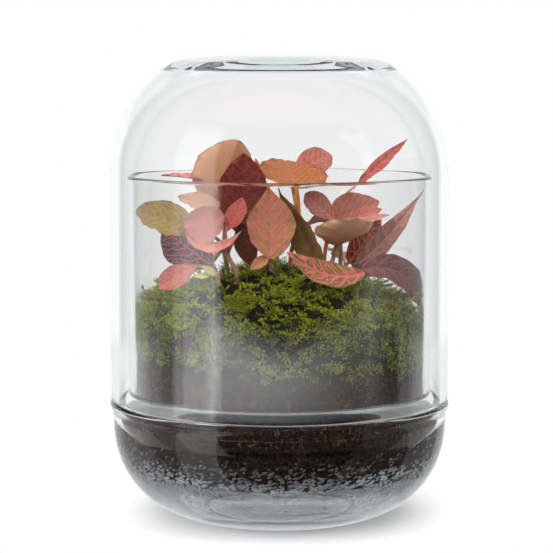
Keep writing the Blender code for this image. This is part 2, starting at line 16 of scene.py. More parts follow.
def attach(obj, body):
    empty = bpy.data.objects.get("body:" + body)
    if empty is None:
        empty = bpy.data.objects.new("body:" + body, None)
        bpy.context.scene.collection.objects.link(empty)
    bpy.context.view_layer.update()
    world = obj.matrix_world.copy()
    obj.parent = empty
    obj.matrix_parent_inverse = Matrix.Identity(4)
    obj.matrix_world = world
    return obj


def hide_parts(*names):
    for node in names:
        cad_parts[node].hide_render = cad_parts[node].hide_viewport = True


bl_info = {
    "name": "Glass Plant Terrarium",
    "version": (1, 0, 0),
    "blender": (4, 5, 0),
    "location": "View3D > Sidebar > Terrarium",
    "description": "Adds a closed glass terrarium with soil, moss and a nerve plant",
    "category": "Object",
}

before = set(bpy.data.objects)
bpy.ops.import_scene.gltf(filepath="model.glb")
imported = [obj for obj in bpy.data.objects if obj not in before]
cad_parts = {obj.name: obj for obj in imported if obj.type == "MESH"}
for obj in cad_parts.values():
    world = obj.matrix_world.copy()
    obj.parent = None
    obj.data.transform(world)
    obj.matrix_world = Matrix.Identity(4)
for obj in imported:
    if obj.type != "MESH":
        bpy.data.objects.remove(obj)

MM = 0.001
LONG_RUN = 5.0
RING_SPACING = 7.0

# Vessel, outside
BELLY_RADIUS = 88.6
BELLY_HEIGHT = 51.0
BELLY_CURVE_WIDTH = 49.0
BELLY_CURVE_POWER = 2.1
FOOT_ANGLE = math.radians(84)
FLANGE_RADIUS = 90.35
FLANGE_HEIGHT = 59.6
LEDGE_HEIGHT = 61.7
LEDGE_EDGE_RADIUS = 88.6
NECK_RADIUS = 80.4
NECK_FILLET = 2.4
RIM_HEIGHT = 181.2

# The rounded edge between the ledge and the widest place of the bowl
LIP_OUTLINE = (
    (LEDGE_EDGE_RADIUS - 1.6, LEDGE_HEIGHT), (LEDGE_EDGE_RADIUS, LEDGE_HEIGHT - 0.2),
    (FLANGE_RADIUS - 0.3, FLANGE_HEIGHT + 1.1), (FLANGE_RADIUS, FLANGE_HEIGHT),
    (BELLY_RADIUS + 0.6, FLANGE_HEIGHT - 3.0), (BELLY_RADIUS, BELLY_HEIGHT),
)

# Vessel, inside
NECK_WALL = 3.2
NECK_INSIDE = NECK_RADIUS - NECK_WALL
BOWL_RADIUS = 84.4
BOWL_HEIGHT = 55.0
BOWL_CURVE_WIDTH = 44.4
FLOOR_HEIGHT = 15.0
FLOOR_RING_RADIUS = BOWL_RADIUS - BOWL_CURVE_WIDTH - 12.0
SHOULDER_START = math.radians(9)
SHOULDER_TOP = 68.0
MIST_TOP = 47.0

# Cover
GAP = 0.3
COVER_RADIUS = 89.8
COVER_WALL = 4.0
COVER_BOTTOM = LEDGE_HEIGHT + GAP
COVER_EDGE_DEPTH = 1.4
COVER_SHOULDER_RADIUS = 66.4
COVER_SHOULDER_CENTRE = (22.8, 182.8)
COVER_SHOULDER_END = math.radians(60)
CROWN_HEIGHT = 244.0
CROWN_DROP = 1.9
CROWN_RADIUS = 50.0
CROWN_POWER = 3.2
INNER_CORNER_HEIGHT = 234.0
INNER_CROWN_HEIGHT = 238.0
INNER_CROWN_POWER = 1.8
CROWN_SAG = 4.6
CROWN_SAG_RADIUS = 36.0
CROWN_SAG_POWER = 0.8

# Drops of water
DROP_LOWEST = 17.0
DROP_SPAN = 24.0
DROP_SUNK = 0.03
DROP_RINGS = 3
DROP_SIDES = 9

# Soil and moss
SOIL_TOP = 86.0
SOIL_TILT = 4.0
SOIL_LUMP = 0.6
SOIL_LUMP_WIDTH = 16.0
SOIL_CLEARANCE = 0.9
SOIL_SIDES = 400
SOIL_GRIT_WIDTH = 2.2
SETTLED_DEPTH = 9.0
DRY_GAP = 0.25
WET_BAND = (25.0, 52.0)
WET_GRIT_WIDTH = 1.5
PRESSED_IN = 0.04
MOSS_RIM_HEIGHT = 109.5
MOSS_RIM_RADIUS = 72.0
MOSS_PEAK = 132.0
MOSS_LUMP = 3.6
MOSS_LUMP_WIDTH = 11.0
MOSS_TUFT = 3.6
MOSS_TUFT_WIDTH = 2.3
MOSS_FOOT = SOIL_TOP - 2.0
MOSS_SIDES = 150
MOSS_REACH = 75.0
MOSS_LIMIT = 75.8
MOSS_EDGE_LEAN = 75.5
CUSHION_DEPTH = 2.6
STEM_ROOM = 2.6
SHOOT_BED = 2.2
SHOOT_FORMS = 8

# Plant
STEM_FOOT = 72.0
STEM_SIDES = 12
STALK_SIDES = 10
BLADE_STEPS = 46
BLADE_ACROSS = 22
BLADE_START = 0.004
BLADE_END = 0.9992
VEIN_PAIRS = 7
VEIN_SLANT = 0.38
VEIN_CURVE = 0.3
RIB_GROOVE = 0.35
RIB_GROOVE_WIDTH = 0.7
RIB_DEPTH = 0.45
RIB_WIDTH = 0.8
HAIR_COLOUR = (0.55, 0.48, 0.40)
CAPSULE_COLOUR = (0.045, 0.02, 0.012)

# Floor and camera
FLOOR_LEVEL = -0.4
FLOOR_EDGE = 1.5
FLOOR_SIDES = 128
FLOOR_FADE = (0.13, 0.29)
CAMERA_PLACE = (-0.0016, -1.0, 0.2352)
CAMERA_TILT = math.radians(83.81)

# Each stem gives where it stands, where it forks, its colour and its leaves.
# Each leaf gives its look, its base and tip, its width, the way its upper side faces, how far its
# middle bows from the straight line, its cup and fold in degrees, its twist in degrees, its widest
# place along the length, how blunt its base and tip are and the radius of its stalk.
STEMS = {
    "fittonia_stem_back_left": {
        "foot": (-16, 14), "fork": (-17, 12, 148), "colour": (0.50, 0.25, 0.14),
        "leaves": [
            {"look": "tan", "base": (-38, 24, 160.5), "tip": (-22, 13, 199), "width": 37.5,
             "faces": (0.1, 1, 0.3),
             "bow": (0, -3, -0.5), "cup": 38, "widest": 0.46, "blunt": 0.5, "point": 0.6},
            {"look": "maroon", "base": (-20, 0, 149), "tip": (-19, 10, 192), "width": 27,
             "faces": (0, -1, 0.1),
             "bow": (0, 1, 0), "cup": 20, "widest": 0.52, "blunt": 0.5, "point": 0.8},
            {"look": "fawn", "base": (-11, 14, 164), "tip": (-13, 16, 189), "width": 8,
             "faces": (0.3, -1, 0.1), "bow": (1, 0, 0), "cup": 40, "widest": 0.45},
            {"look": "rose", "base": (-41, 20, 177), "tip": (-65, 26, 179), "width": 12,
             "faces": (0, -0.15, 1), "bow": (0, 0, 0.5), "cup": 25, "widest": 0.45},
        ],
    },
    "fittonia_stem_back_centre": {
        "foot": (6, 8), "fork": (10, -2, 158), "colour": (0.60, 0.22, 0.05),
        "leaves": [
            {"look": "amber", "base": (9, -5, 174), "tip": (3, 24, 187.5), "width": 38,
             "faces": (0.2, -0.45, 0.87),
             "bow": (0, 0, 1), "cup": 22, "widest": 0.32, "blunt": 0.42, "point": 0.6,
             "stalk": 1.4},
            {"look": "coral", "base": (7, 15, 180), "tip": (28, 27, 190.5), "width": 17,
             "faces": (0.2, -0.75, 0.65), "bow": (0, 0, 1), "cup": 15, "widest": 0.6, "point": 0.5},
        ],
    },
    "fittonia_stem_rear": {
        "foot": (-2, 24), "fork": (-1, 26, 138), "colour": (0.40, 0.18, 0.14),
        "leaves": [
            {"look": "mauve", "base": (-8, 30, 142), "tip": (-24, 54, 148), "width": 20,
             "faces": (0.1, 0.5, 1), "bow": (0, 0, 4), "cup": 18, "widest": 0.48},
            {"look": "pink_green", "base": (1, 32, 143), "tip": (3, 62, 147), "width": 21,
             "faces": (0, 0.4, 1), "bow": (0, 0, 4), "cup": 18, "widest": 0.48},
            {"look": "russet", "base": (6, 28, 145), "tip": (30, 50, 152), "width": 18,
             "faces": (-0.1, 0.5, 1), "bow": (0, 0, 4), "cup": 18, "widest": 0.48},
        ],
    },
    "fittonia_stem_rear_left": {
        "foot": (-36, 28), "fork": (-37, 31, 130), "colour": (0.20, 0.20, 0.06),
        "leaves": [
            {"look": "moss_gold", "base": (-41, 28, 132), "tip": (-61, 34, 135), "width": 18,
             "faces": (-0.4, 0.2, 1), "bow": (0, 0, 4), "cup": 18, "widest": 0.48},
            {"look": "olive_net", "base": (-39, 36, 132), "tip": (-46, 57, 131), "width": 19,
             "faces": (-0.1, 0.5, 1), "bow": (0, 0, 4), "cup": 18, "widest": 0.48},
        ],
    },
    "fittonia_stem_rear_right": {
        "foot": (36, 33), "fork": (37, 35, 130), "colour": (0.45, 0.16, 0.15),
        "leaves": [
            {"look": "rose", "base": (41, 34, 131), "tip": (60, 37, 132), "width": 17,
             "faces": (0.4, 0.1, 1), "bow": (0, 0, 4), "cup": 18, "widest": 0.48},
            {"look": "mauve", "base": (36, 40, 132), "tip": (38, 61, 131), "width": 19,
             "faces": (0.1, 0.6, 1), "bow": (0, 0, 4), "cup": 18, "widest": 0.48},
        ],
    },
    "fittonia_stem_upright_right": {
        "foot": (24, 18), "fork": (28, 20, 160), "colour": (0.55, 0.12, 0.10),
        "leaves": [
            {"look": "crimson", "base": (42.8, 22, 174.6), "tip": (70.5, 26, 199.5), "width": 7.4,
             "faces": (-0.4, -1, 0.4),
             "bow": (-0.5, 0, -0.5), "cup": 20, "fold": 6, "widest": 0.45, "point": 1},
        ],
    },
    "fittonia_stem_left": {
        "foot": (-28, 3), "fork": (-30, 5, 142), "colour": (0.26, 0.24, 0.06),
        "leaves": [
            {"look": "moss_gold", "base": (-45, -8, 153.5), "tip": (-74.8, -14.5, 163), "width": 23,
             "faces": (-0.1, -0.7, 0.7), "bow": (0, 0, 0), "cup": 20, "widest": 0.45,
             "point": 0.5},
            {"look": "bottle_green", "base": (-36, 3, 132), "tip": (-62.5, 5, 152), "width": 26,
             "faces": (-0.3, -0.75, 0.5),
             "bow": (0, 0, 0), "cup": 20, "widest": 0.55, "blunt": 0.6, "point": 0.6},
            {"look": "blush", "base": (-31, 8, 164), "tip": (-55, 10, 169), "width": 14,
             "faces": (0, -0.6, 0.8), "bow": (0, 0, -1), "cup": 30, "widest": 0.5},
        ],
    },
    "fittonia_stem_left_front": {
        "foot": (-22, -14), "fork": (-27, -15, 141), "colour": (0.62, 0.22, 0.22),
        "leaves": [
            {"look": "pale_pink", "base": (-36, -21, 146.5), "tip": (-42, -8, 164.5), "width": 23,
             "faces": (0, -1, 0.3),
             "bow": (0, 2, 0), "cup": 25, "widest": 0.55, "blunt": 0.5, "point": 0.5},
            {"look": "salmon", "base": (-20, -20, 153), "tip": (-48, -22, 151), "width": 9,
             "faces": (0, -0.6, 0.8), "bow": (0, -1, -8), "cup": 30, "widest": 0.6, "point": 0.5},
            {"look": "scarlet", "base": (-29, -15, 152.5), "tip": (-20, -8, 169.5), "width": 11,
             "faces": (-0.4, -1, 0.2), "bow": (2, 0, 0), "cup": 25, "widest": 0.5},
        ],
    },
    "fittonia_stem_front_centre": {
        "foot": (-4, -13), "fork": (-6, -14, 136), "colour": (0.55, 0.25, 0.20),
        "leaves": [
            {"look": "pink_green", "base": (-5, -22, 138.5), "tip": (-6, -5, 176.5), "width": 26,
             "faces": (0.05, -1, 0.3), "bow": (1, 2, 0), "cup": 22, "widest": 0.42, "point": 1.5},
            {"look": "chestnut", "base": (-13, -11, 133.5), "tip": (-20, -11, 157), "width": 13,
             "faces": (-0.4, -1, 0), "bow": (-1, 0, 0), "cup": 25, "widest": 0.5},
            {"look": "fawn", "base": (-5, -20, 140), "tip": (-15, -23, 133), "width": 7,
             "faces": (0.5, -0.5, 0.8), "bow": (0, 0, 0), "cup": 30, "widest": 0.5},
        ],
    },
    "fittonia_stem_low_left": {
        "foot": (-32, -19), "fork": (-34, -19, 132), "colour": (0.52, 0.20, 0.17),
        "leaves": [
            {"look": "rose", "base": (-42, -16, 134.5), "tip": (-62.5, -17, 123), "width": 15,
             "faces": (-0.2, -0.8, 0.6), "bow": (0, 0, 0.5), "cup": 18, "widest": 0.62,
             "point": 0.5},
            {"look": "straw", "base": (-32, -24, 130), "tip": (-40, -26, 135), "width": 5,
             "faces": (0.2, -0.8, 0.6), "bow": (0, 0, 0), "cup": 20, "widest": 0.5},
            {"look": "straw", "base": (-36, -25, 130), "tip": (-44, -28, 130), "width": 5,
             "faces": (0, -0.6, 0.8), "bow": (0, 0, 0), "cup": 20, "widest": 0.5},
        ],
    },
    "fittonia_stem_right_olive": {
        "foot": (16, -12), "fork": (18, -12, 132), "colour": (0.16, 0.12, 0.05),
        "leaves": [
            {"look": "bronze", "base": (21, -12, 134), "tip": (-1, -2, 174), "width": 16,
             "faces": (-0.5, -0.8, 0.2), "bow": (0, 0, 0), "cup": 25, "fold": 10,
             "widest": 0.32, "point": 1.2},
        ],
    },
    "fittonia_stem_right_back": {
        "foot": (33, 11), "fork": (33, 11, 145), "colour": (0.36, 0.16, 0.15),
        "leaves": [
            {"look": "mauve", "base": (30, 7, 156.5), "tip": (13.5, 7, 170.5), "width": 13.5,
             "faces": (-0.2, -0.8, 0.7),
             "bow": (0, 0, 0), "cup": 20, "widest": 0.6, "blunt": 0.6, "point": 0.55},
            {"look": "russet", "base": (28, 11, 155), "tip": (54.5, 16, 166), "width": 22.5,
             "faces": (0, -0.8, 0.6), "bow": (-1, 0, 0.5), "cup": 20, "widest": 0.45, "point": 0.9},
            {"look": "brick", "base": (35, 4, 156), "tip": (55, 6, 162.5), "width": 12,
             "faces": (0, -0.6, 0.85), "bow": (0, 0, 0.5), "cup": 20, "widest": 0.5},
        ],
    },
    "fittonia_stem_right_cup": {
        "foot": (27, -5), "fork": (29, -5, 140), "colour": (0.45, 0.28, 0.16),
        "leaves": [
            {"look": "cup_tan", "base": (30, -5, 144), "tip": (41, -22, 160), "width": 38,
             "faces": (-0.35, 0.6, 0.8),
             "bow": (0, -1, -2), "cup": 35, "widest": 0.5, "blunt": 0.6, "point": 0.6,
             "stalk": 1.7},
            {"look": "salmon", "base": (37, -10, 157), "tip": (57, -14, 161), "width": 7,
             "faces": (0.1, -0.4, 1), "bow": (0, 0, -1), "cup": 30, "widest": 0.6},
        ],
    },
    "fittonia_stem_far_right": {
        "foot": (40, 2), "fork": (40, 2, 132), "colour": (0.33, 0.11, 0.11),
        "leaves": [
            {"look": "dusky", "base": (40.5, 0, 133), "tip": (75.3, -14, 174.5), "width": 12.5,
             "faces": (-0.4, -1, 0.2), "bow": (-1, 0, -4.8), "cup": 15, "fold": 6,
             "widest": 0.42, "point": 1.5},
            {"look": "ember", "base": (37, 2, 134), "tip": (54.5, 6, 157), "width": 14,
             "faces": (-0.2, -1, 0.3), "bow": (0, 0, 0), "cup": 20, "widest": 0.45},
        ],
    },
    "fittonia_stem_front_right": {
        "foot": (39, -31), "fork": (40, -34, 131), "colour": (0.22, 0.20, 0.05),
        "leaves": [
            {"look": "olive_net", "base": (43, -36, 133), "tip": (4, -44, 144.5), "width": 15,
             "faces": (0, -0.8, 0.6), "bow": (0, -2, -6), "cup": 15, "widest": 0.45},
            {"look": "plum", "base": (38, -33, 133), "tip": (72.8, -14, 113), "width": 18.5,
             "faces": (0.1, -0.8, 0.6), "bow": (5.6, -2, 9), "cup": 15, "widest": 0.55,
             "blunt": 0.45},
        ],
    },
}

LEAF_DEFAULTS = {"fold": 0.0, "twist": 0.0, "blunt": 0.7, "point": 0.8, "stalk": 0.9}

for stem in STEMS.values():
    stem["leaves"] = [{**LEAF_DEFAULTS, **leaf} for leaf in stem["leaves"]]

STEM_SLOTS = {
    "fittonia_stem_back_left": "tan_leaf",
    "fittonia_stem_back_centre": "amber_leaf",
    "fittonia_stem_rear": "russet_leaf",
    "fittonia_stem_rear_left": "rear_olive_leaf",
    "fittonia_stem_rear_right": "rear_rose_leaf",
    "fittonia_stem_upright_right": "red_leaf",
    "fittonia_stem_left": "yellow_green_leaf",
    "fittonia_stem_left_front": "pale_pink_leaf",
    "fittonia_stem_front_centre": "pink_green_leaf",
    "fittonia_stem_low_left": "rose_leaf",
    "fittonia_stem_right_olive": "dark_olive_leaf",
    "fittonia_stem_right_back": "mauve_leaf",
    "fittonia_stem_right_cup": "tan_cup_leaf",
    "fittonia_stem_far_right": "dark_mauve_leaf",
    "fittonia_stem_front_right": "veined_olive_leaf",
}


def paint(red, green, blue):
    """Linear colour for a paint swatch given from 0 to 255."""
    return tuple(((c / 255 + 0.055) / 1.055) ** 2.4 if c > 10 else c / 3294.6
                 for c in (red, green, blue))


# Each look gives the colours of a blade, of the patches between its veins, of its veins, of its
# margin and of its underside, then how wide its veins are in millimetres and how strong they and
# the fine net between them show.
LOOKS = {
    "tan": ((206, 156, 122), (164, 140, 72), (204, 106, 100), (130, 84, 60), (204, 160, 118),
            0.65, 1.0, 1.0),
    "maroon": ((112, 42, 32), (92, 38, 24), (168, 74, 70), (92, 34, 28), (140, 66, 54),
               0.4, 0.4, 0.3),
    "fawn": ((196, 134, 96), (180, 120, 76), (214, 140, 122), (160, 96, 66), (190, 130, 96),
             0.4, 0.5, 0.3),
    "rose": ((194, 108, 100), (172, 88, 78), (214, 130, 124), (176, 84, 82), (196, 124, 112),
             0.5, 0.6, 0.35),
    "amber": ((146, 98, 38), (112, 92, 18), (196, 98, 72), (124, 72, 34), (186, 130, 74),
              0.5, 1.0, 0.9),
    "coral": ((170, 98, 84), (138, 102, 68), (208, 122, 118), (140, 78, 66), (180, 112, 88),
              0.55, 0.9, 0.6),
    "mauve": ((172, 118, 106), (144, 108, 84), (206, 124, 128), (132, 86, 78), (176, 124, 106),
              0.45, 0.85, 0.6),
    "pink_green": ((166, 114, 84), (130, 120, 46), (200, 92, 102), (156, 112, 72), (176, 116, 90),
                   0.6, 0.85, 0.6),
    "russet": ((160, 106, 88), (136, 102, 66), (200, 112, 112), (132, 84, 68), (176, 118, 84),
               0.45, 0.85, 0.6),
    "moss_gold": ((150, 128, 60), (110, 118, 32), (190, 126, 94), (98, 88, 54), (154, 128, 76),
                  0.45, 0.85, 0.6),
    "olive_net": ((128, 116, 44), (104, 104, 28), (216, 100, 116), (142, 112, 60), (150, 110, 70),
                  0.85, 1.0, 0.25),
    "crimson": ((164, 84, 74), (140, 86, 60), (212, 106, 106), (104, 58, 56), (166, 110, 84),
                0.45, 0.9, 0.6),
    "bottle_green": ((58, 64, 46), (42, 56, 38), (206, 84, 110), (50, 60, 44), (120, 80, 70),
                     0.8, 1.0, 0.2),
    "blush": ((186, 146, 124), (176, 134, 104), (190, 116, 104), (170, 116, 96), (180, 142, 120),
              0.5, 0.4, 0.2),
    "pale_pink": ((176, 118, 112), (164, 106, 94), (190, 92, 100), (140, 84, 76), (170, 118, 104),
                  0.4, 0.6, 0.5),
    "salmon": ((196, 120, 108), (184, 110, 92), (220, 146, 134), (206, 142, 124), (196, 128, 106),
               0.45, 0.5, 0.2),
    "scarlet": ((170, 78, 68), (146, 78, 56), (206, 98, 104), (180, 122, 84), (176, 100, 80),
                0.5, 0.9, 0.4),
    "chestnut": ((104, 48, 30), (88, 44, 22), (150, 70, 60), (96, 40, 28), (120, 66, 44),
                 0.4, 0.5, 0.3),
    "straw": ((200, 188, 118), (178, 176, 90), (214, 190, 130), (180, 150, 100), (196, 184, 120),
              0.4, 0.5, 0.2),
    "bronze": ((126, 92, 46), (108, 94, 32), (160, 104, 72), (78, 48, 36), (140, 102, 56),
               0.45, 0.6, 0.6),
    "brick": ((168, 98, 86), (146, 94, 68), (206, 112, 110), (140, 82, 70), (186, 122, 96),
              0.45, 0.85, 0.6),
    # The cup's underside is paler by nature and is painted lighter still, as painted light where it
    # faces down into shade.
    "cup_tan": ((218, 122, 108), (206, 120, 94), (228, 112, 112), (206, 128, 104), (248, 206, 164),
                0.6, 0.6, 0.4),
    "dusky": ((182, 124, 114), (154, 112, 90), (214, 146, 142), (140, 92, 86), (180, 128, 108),
              0.4, 0.8, 0.6),
    "ember": ((64, 34, 18), (46, 32, 14), (206, 92, 66), (58, 30, 22), (110, 60, 40),
              0.7, 1.0, 0.3),
    "plum": ((86, 58, 50), (68, 56, 40), (150, 78, 84), (78, 56, 52), (120, 82, 70),
             0.5, 0.85, 0.7),
}


class TerrariumGlass(bpy.types.PropertyGroup):
    """Sizes and colours of the blown glass."""

    tint: bpy.props.FloatVectorProperty(
        name="Tint", description="Colour that thick glass takes on", subtype="COLOR", size=3,
        default=(0.49, 0.615, 0.67), min=0.0, max=1.0)
    tint_depth: bpy.props.FloatProperty(
        name="Tint depth", description="How fast the tint deepens along a metre of glass",
        default=4.5, min=0.0)
    bend: bpy.props.FloatProperty(
        name="Refraction", description="Refractive index of the glass", default=1.48, min=1.0,
        max=2.0)
    sides: bpy.props.IntProperty(
        name="Sides", description="Faces round the vessel and the cover", default=168, min=24)
    mist: bpy.props.FloatProperty(
        name="Mist", description="Roughness of the condensation inside the bowl", default=0.1,
        min=0.0, max=1.0, subtype="FACTOR")
    drop_count: bpy.props.IntProperty(
        name="Drops", description="Drops of water on the inside of the bowl", default=1500, min=0)
    drop_radius: bpy.props.FloatProperty(
        name="Drop radius", description="Radius of the largest drops", default=0.0008, min=0.0001,
        max=0.003, subtype="DISTANCE", unit="LENGTH", precision=5)


class TerrariumSoil(bpy.types.PropertyGroup):
    """Sizes and colours of the potting soil."""

    dark: bpy.props.FloatVectorProperty(
        name="Dark", description="Colour of the damp soil", subtype="COLOR", size=3,
        default=(0.0062, 0.0044, 0.0036), min=0.0, max=1.0)
    light: bpy.props.FloatVectorProperty(
        name="Light", description="Colour of the drier crumbs", subtype="COLOR", size=3,
        default=(0.056, 0.033, 0.022), min=0.0, max=1.0)
    fibre: bpy.props.FloatVectorProperty(
        name="Fibre", description="Colour of the coir fibres", subtype="COLOR", size=3,
        default=(0.34, 0.16, 0.075), min=0.0, max=1.0)
    fibre_count: bpy.props.IntProperty(
        name="Fibres", description="Coir fibres against the glass", default=2600, min=0)
    crumb_count: bpy.props.IntProperty(
        name="Crumbs", description="Crumbs of soil against the glass", default=4200, min=0)
    relief: bpy.props.FloatProperty(
        name="Relief", description="Depth of the gaps between the crumbs", default=0.0013, min=0.0,
        max=0.004, subtype="DISTANCE", unit="LENGTH", precision=5)


class TerrariumMoss(bpy.types.PropertyGroup):
    """Sizes and colours of the moss."""

    young: bpy.props.FloatVectorProperty(
        name="Young", description="Colour of the fresh tips", subtype="COLOR", size=3,
        default=(0.70, 0.74, 0.025), min=0.0, max=1.0)
    old: bpy.props.FloatVectorProperty(
        name="Old", description="Colour of the older growth", subtype="COLOR", size=3,
        default=(0.25, 0.30, 0.014), min=0.0, max=1.0)
    # Painted shade: near-black colour that the moss takes deep among its shoots and on its cushion,
    # in place of the shade between them.
    shade: bpy.props.FloatVectorProperty(
        name="Shade", description="Colour deep between the shoots", subtype="COLOR", size=3,
        default=(0.004, 0.0055, 0.001), min=0.0, max=1.0)
    mound_shoots: bpy.props.IntProperty(
        name="Mound shoots", description="Shoots over the mound", default=1440, min=0)
    side_shoots: bpy.props.IntProperty(
        name="Side shoots", description="Shoots against the glass", default=1000, min=0)
    fronds: bpy.props.IntProperty(
        name="Fronds", description="Long shoots that stand out at both sides", default=70, min=0)
    shoot_length: bpy.props.FloatProperty(
        name="Shoot length", description="Length of a full-grown shoot", default=0.0105, min=0.002,
        max=0.03, subtype="DISTANCE", unit="LENGTH", precision=4)
    stalk: bpy.props.FloatVectorProperty(
        name="Stalk", description="Colour of the spore stalks", subtype="COLOR", size=3,
        default=(0.42, 0.10, 0.025), min=0.0, max=1.0)


class TerrariumPlant(bpy.types.PropertyGroup):
    """Sizes of the nerve plant's leaves."""

    thickness: bpy.props.FloatProperty(
        name="Thickness", description="Thickness of a blade beside its midrib", default=0.00045,
        min=0.0001, max=0.0007, subtype="DISTANCE", unit="LENGTH", precision=5)
    pucker: bpy.props.FloatProperty(
        name="Pucker", description="How far the blade rises between its veins", default=0.00032,
        min=0.0, max=0.001, subtype="DISTANCE", unit="LENGTH", precision=5)
    wave: bpy.props.FloatProperty(
        name="Wave", description="How far the margins wave", default=0.0006, min=0.0, max=0.002,
        subtype="DISTANCE", unit="LENGTH", precision=5)
    hair_count: bpy.props.IntProperty(
        name="Hairs", description="Fine hairs on each stalk", default=70, min=0)
    glow: bpy.props.FloatProperty(
        name="Glow", description="How much light the blades let through", default=0.25, min=0.0,
        max=1.0, subtype="FACTOR")


class TerrariumStage(bpy.types.PropertyGroup):
    """Floor, room light and camera."""

    floor_radius: bpy.props.FloatProperty(
        name="Floor radius", description="Radius of the pale floor", default=0.42, min=0.2,
        subtype="DISTANCE", unit="LENGTH")
    paper: bpy.props.FloatProperty(
        name="Paper", description="Brightness of the white paper behind the object", default=1.0,
        min=0.0)
    window: bpy.props.FloatProperty(
        name="Window", description="Brightness of the tall window on the left", default=1.05,
        min=0.0)
    table: bpy.props.FloatProperty(
        name="Table", description="Brightness of the far edge of the table in front", default=1.12,
        min=0.0)
    doorway: bpy.props.FloatProperty(
        name="Doorway", description="Brightness of the dark side of the room, in front",
        default=0.041, min=0.0)
    lamps: bpy.props.FloatProperty(
        name="Lamps", description="Share of the soft lamps' full power", default=1.0, min=0.0)
    lens: bpy.props.FloatProperty(
        name="Lens", description="Focal length of the camera in millimetres", default=122.9,
        min=10.0)


# Shapes


class Shape:
    """Points, faces, finishes and leaf maps of one piece, in millimetres."""

    def __init__(self):
        self.points, self.faces, self.slots, self.maps = [], [], [], []
        self.size = 0

    def add(self, points, faces, slot=0, blade=None, veins=None):
        points = np.asarray(points, float).reshape(-1, 3)
        plain = np.zeros((len(points), 2))
        blade = plain if blade is None else np.asarray(blade, float)
        veins = plain if veins is None else np.asarray(veins, float)
        self.points.append(points)
        self.maps.append(np.hstack((blade, veins)))
        self.faces += [tuple(int(i) + self.size for i in face) for face in faces]
        self.slots += [slot] * len(faces) if isinstance(slot, int) else list(slot)
        self.size += len(points)

    def piece(self, name, finishes):
        """Link the shape to the scene as one smooth object."""
        mesh = bpy.data.meshes.new(name)
        mesh.from_pydata(np.vstack(self.points) * MM, [], self.faces)
        for finish in finishes:
            mesh.materials.append(finish)
        mesh.polygons.foreach_set("material_index", self.slots)
        corners = np.zeros(len(mesh.loops), np.int32)
        mesh.loops.foreach_get("vertex_index", corners)
        maps = np.vstack(self.maps)[corners]
        for layer, columns in (("blade", maps[:, :2]), ("veins", maps[:, 2:])):
            mesh.uv_layers.new(name=layer).data.foreach_set("uv", columns.ravel())
        mesh.shade_smooth()
        made = bpy.data.objects.new(name, mesh)
        bpy.context.scene.collection.objects.link(made)
        return made


def mesh_piece(name, points, faces, finishes, slots=None, tone=None, reach=None):
    """One smooth object from plain points and faces, with optional shading attributes."""
    mesh = bpy.data.meshes.new(name)
    mesh.from_pydata(np.asarray(points, float) * MM, [], faces)
    for finish in finishes:
        mesh.materials.append(finish)
    if slots is not None:
        mesh.polygons.foreach_set("material_index", slots)
    for label, values in (("tone", tone), ("reach", reach)):
        if values is not None:
            mesh.attributes.new(label, "FLOAT", "POINT").data.foreach_set("value", values)
    mesh.shade_smooth()
    made = bpy.data.objects.new(name, mesh)
    bpy.context.scene.collection.objects.link(made)
    return made


def place(piece, slot, *nodes):
    """Let a piece ride on the terrarium in place of its plain solids."""
    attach(piece, "root")
    if nodes:
        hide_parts(*nodes)
    return piece


def arc(centre, radii, start, end, steps):
    """Points on an ellipse's arc, as (radius, height) pairs."""
    points = []
    for i in range(steps + 1):
        angle = start + (end - start) * i / steps
        points.append((centre[0] + radii[0] * math.cos(angle),
                       centre[1] + radii[1] * math.sin(angle)))
    return points


def soften(points, steps):
    """Smooth curve through a run of (radius, height) points."""
    knots = [Vector((radius, 0.0, height)) for radius, height in points]
    curve = [points[0]]
    for i in range(len(knots) - 1):
        start, end = knots[i], knots[i + 1]
        reach = (end - start).length / 3
        leave = (end - knots[max(i - 1, 0)]).normalized() * reach
        arrive = (knots[min(i + 2, len(knots) - 1)] - start).normalized() * reach
        for k in range(1, steps + 1):
            t = k / steps
            point = (start * (1 - t) ** 3 + (start + leave) * 3 * t * (1 - t) ** 2
                     + (end - arrive) * 3 * t ** 2 * (1 - t) + end * t ** 3)
            curve.append((point.x, point.z))
    return curve


def steady(profile):
    """Profile with extra rings on its long runs, so that their shading stays straight."""
    path = [profile[0]]
    for (r0, h0), (r1, h1) in zip(profile, profile[1:]):
        length = math.hypot(r1 - r0, h1 - h0)
        if length > LONG_RUN:
            inner = max(2, int(length / RING_SPACING))
            marks = [0.25 / length, 1.0 / length]
            marks += [k / inner for k in range(1, inner)]
            marks += [1.0 - 1.0 / length, 1.0 - 0.25 / length]
            path += [(r0 + (r1 - r0) * t, h0 + (h1 - h0) * t) for t in sorted(set(marks))]
        path.append((r1, h1))
    return path


def turned(profile, sides):
    """Points, faces and profile steps of a profile turned once about the Z axis."""
    points, rows = [], []
    for radius, height in profile:
        count = 1 if radius < 0.001 else sides
        rows.append([len(points) + k for k in range(count)])
        for k in range(count):
            angle = math.tau * k / sides
            points.append((radius * math.cos(angle), radius * math.sin(angle), height))
    faces, steps = [], []
    for i, (near, far) in enumerate(zip(rows, rows[1:])):
        for k in range(sides):
            n = (k + 1) % sides
            if len(near) == 1:
                face = (near[0], far[n], far[k])
            elif len(far) == 1:
                face = (near[k], near[n], far[0])
            else:
                face = (near[k], near[n], far[n], far[k])
            faces.append(face)
            steps.append(i)
    return points, faces, steps


def face_outwards(piece):
    """Turn every face of a closed piece to look outwards."""
    bm = bmesh.new()
    bm.from_mesh(piece.data)
    bmesh.ops.recalc_face_normals(bm, faces=bm.faces)
    bm.to_mesh(piece.data)
    bm.free()


# Finishes


def node(tree, kind, inputs=None, **settings):
    """Add a shader node with its settings, and link or set its inputs."""
    made = tree.nodes.new(kind)
    for key, value in settings.items():
        setattr(made, key, value)
    for key, value in (inputs or {}).items():
        if isinstance(value, bpy.types.NodeSocket):
            tree.links.new(value, made.inputs[key])
        else:
            made.inputs[key].default_value = value
    return made


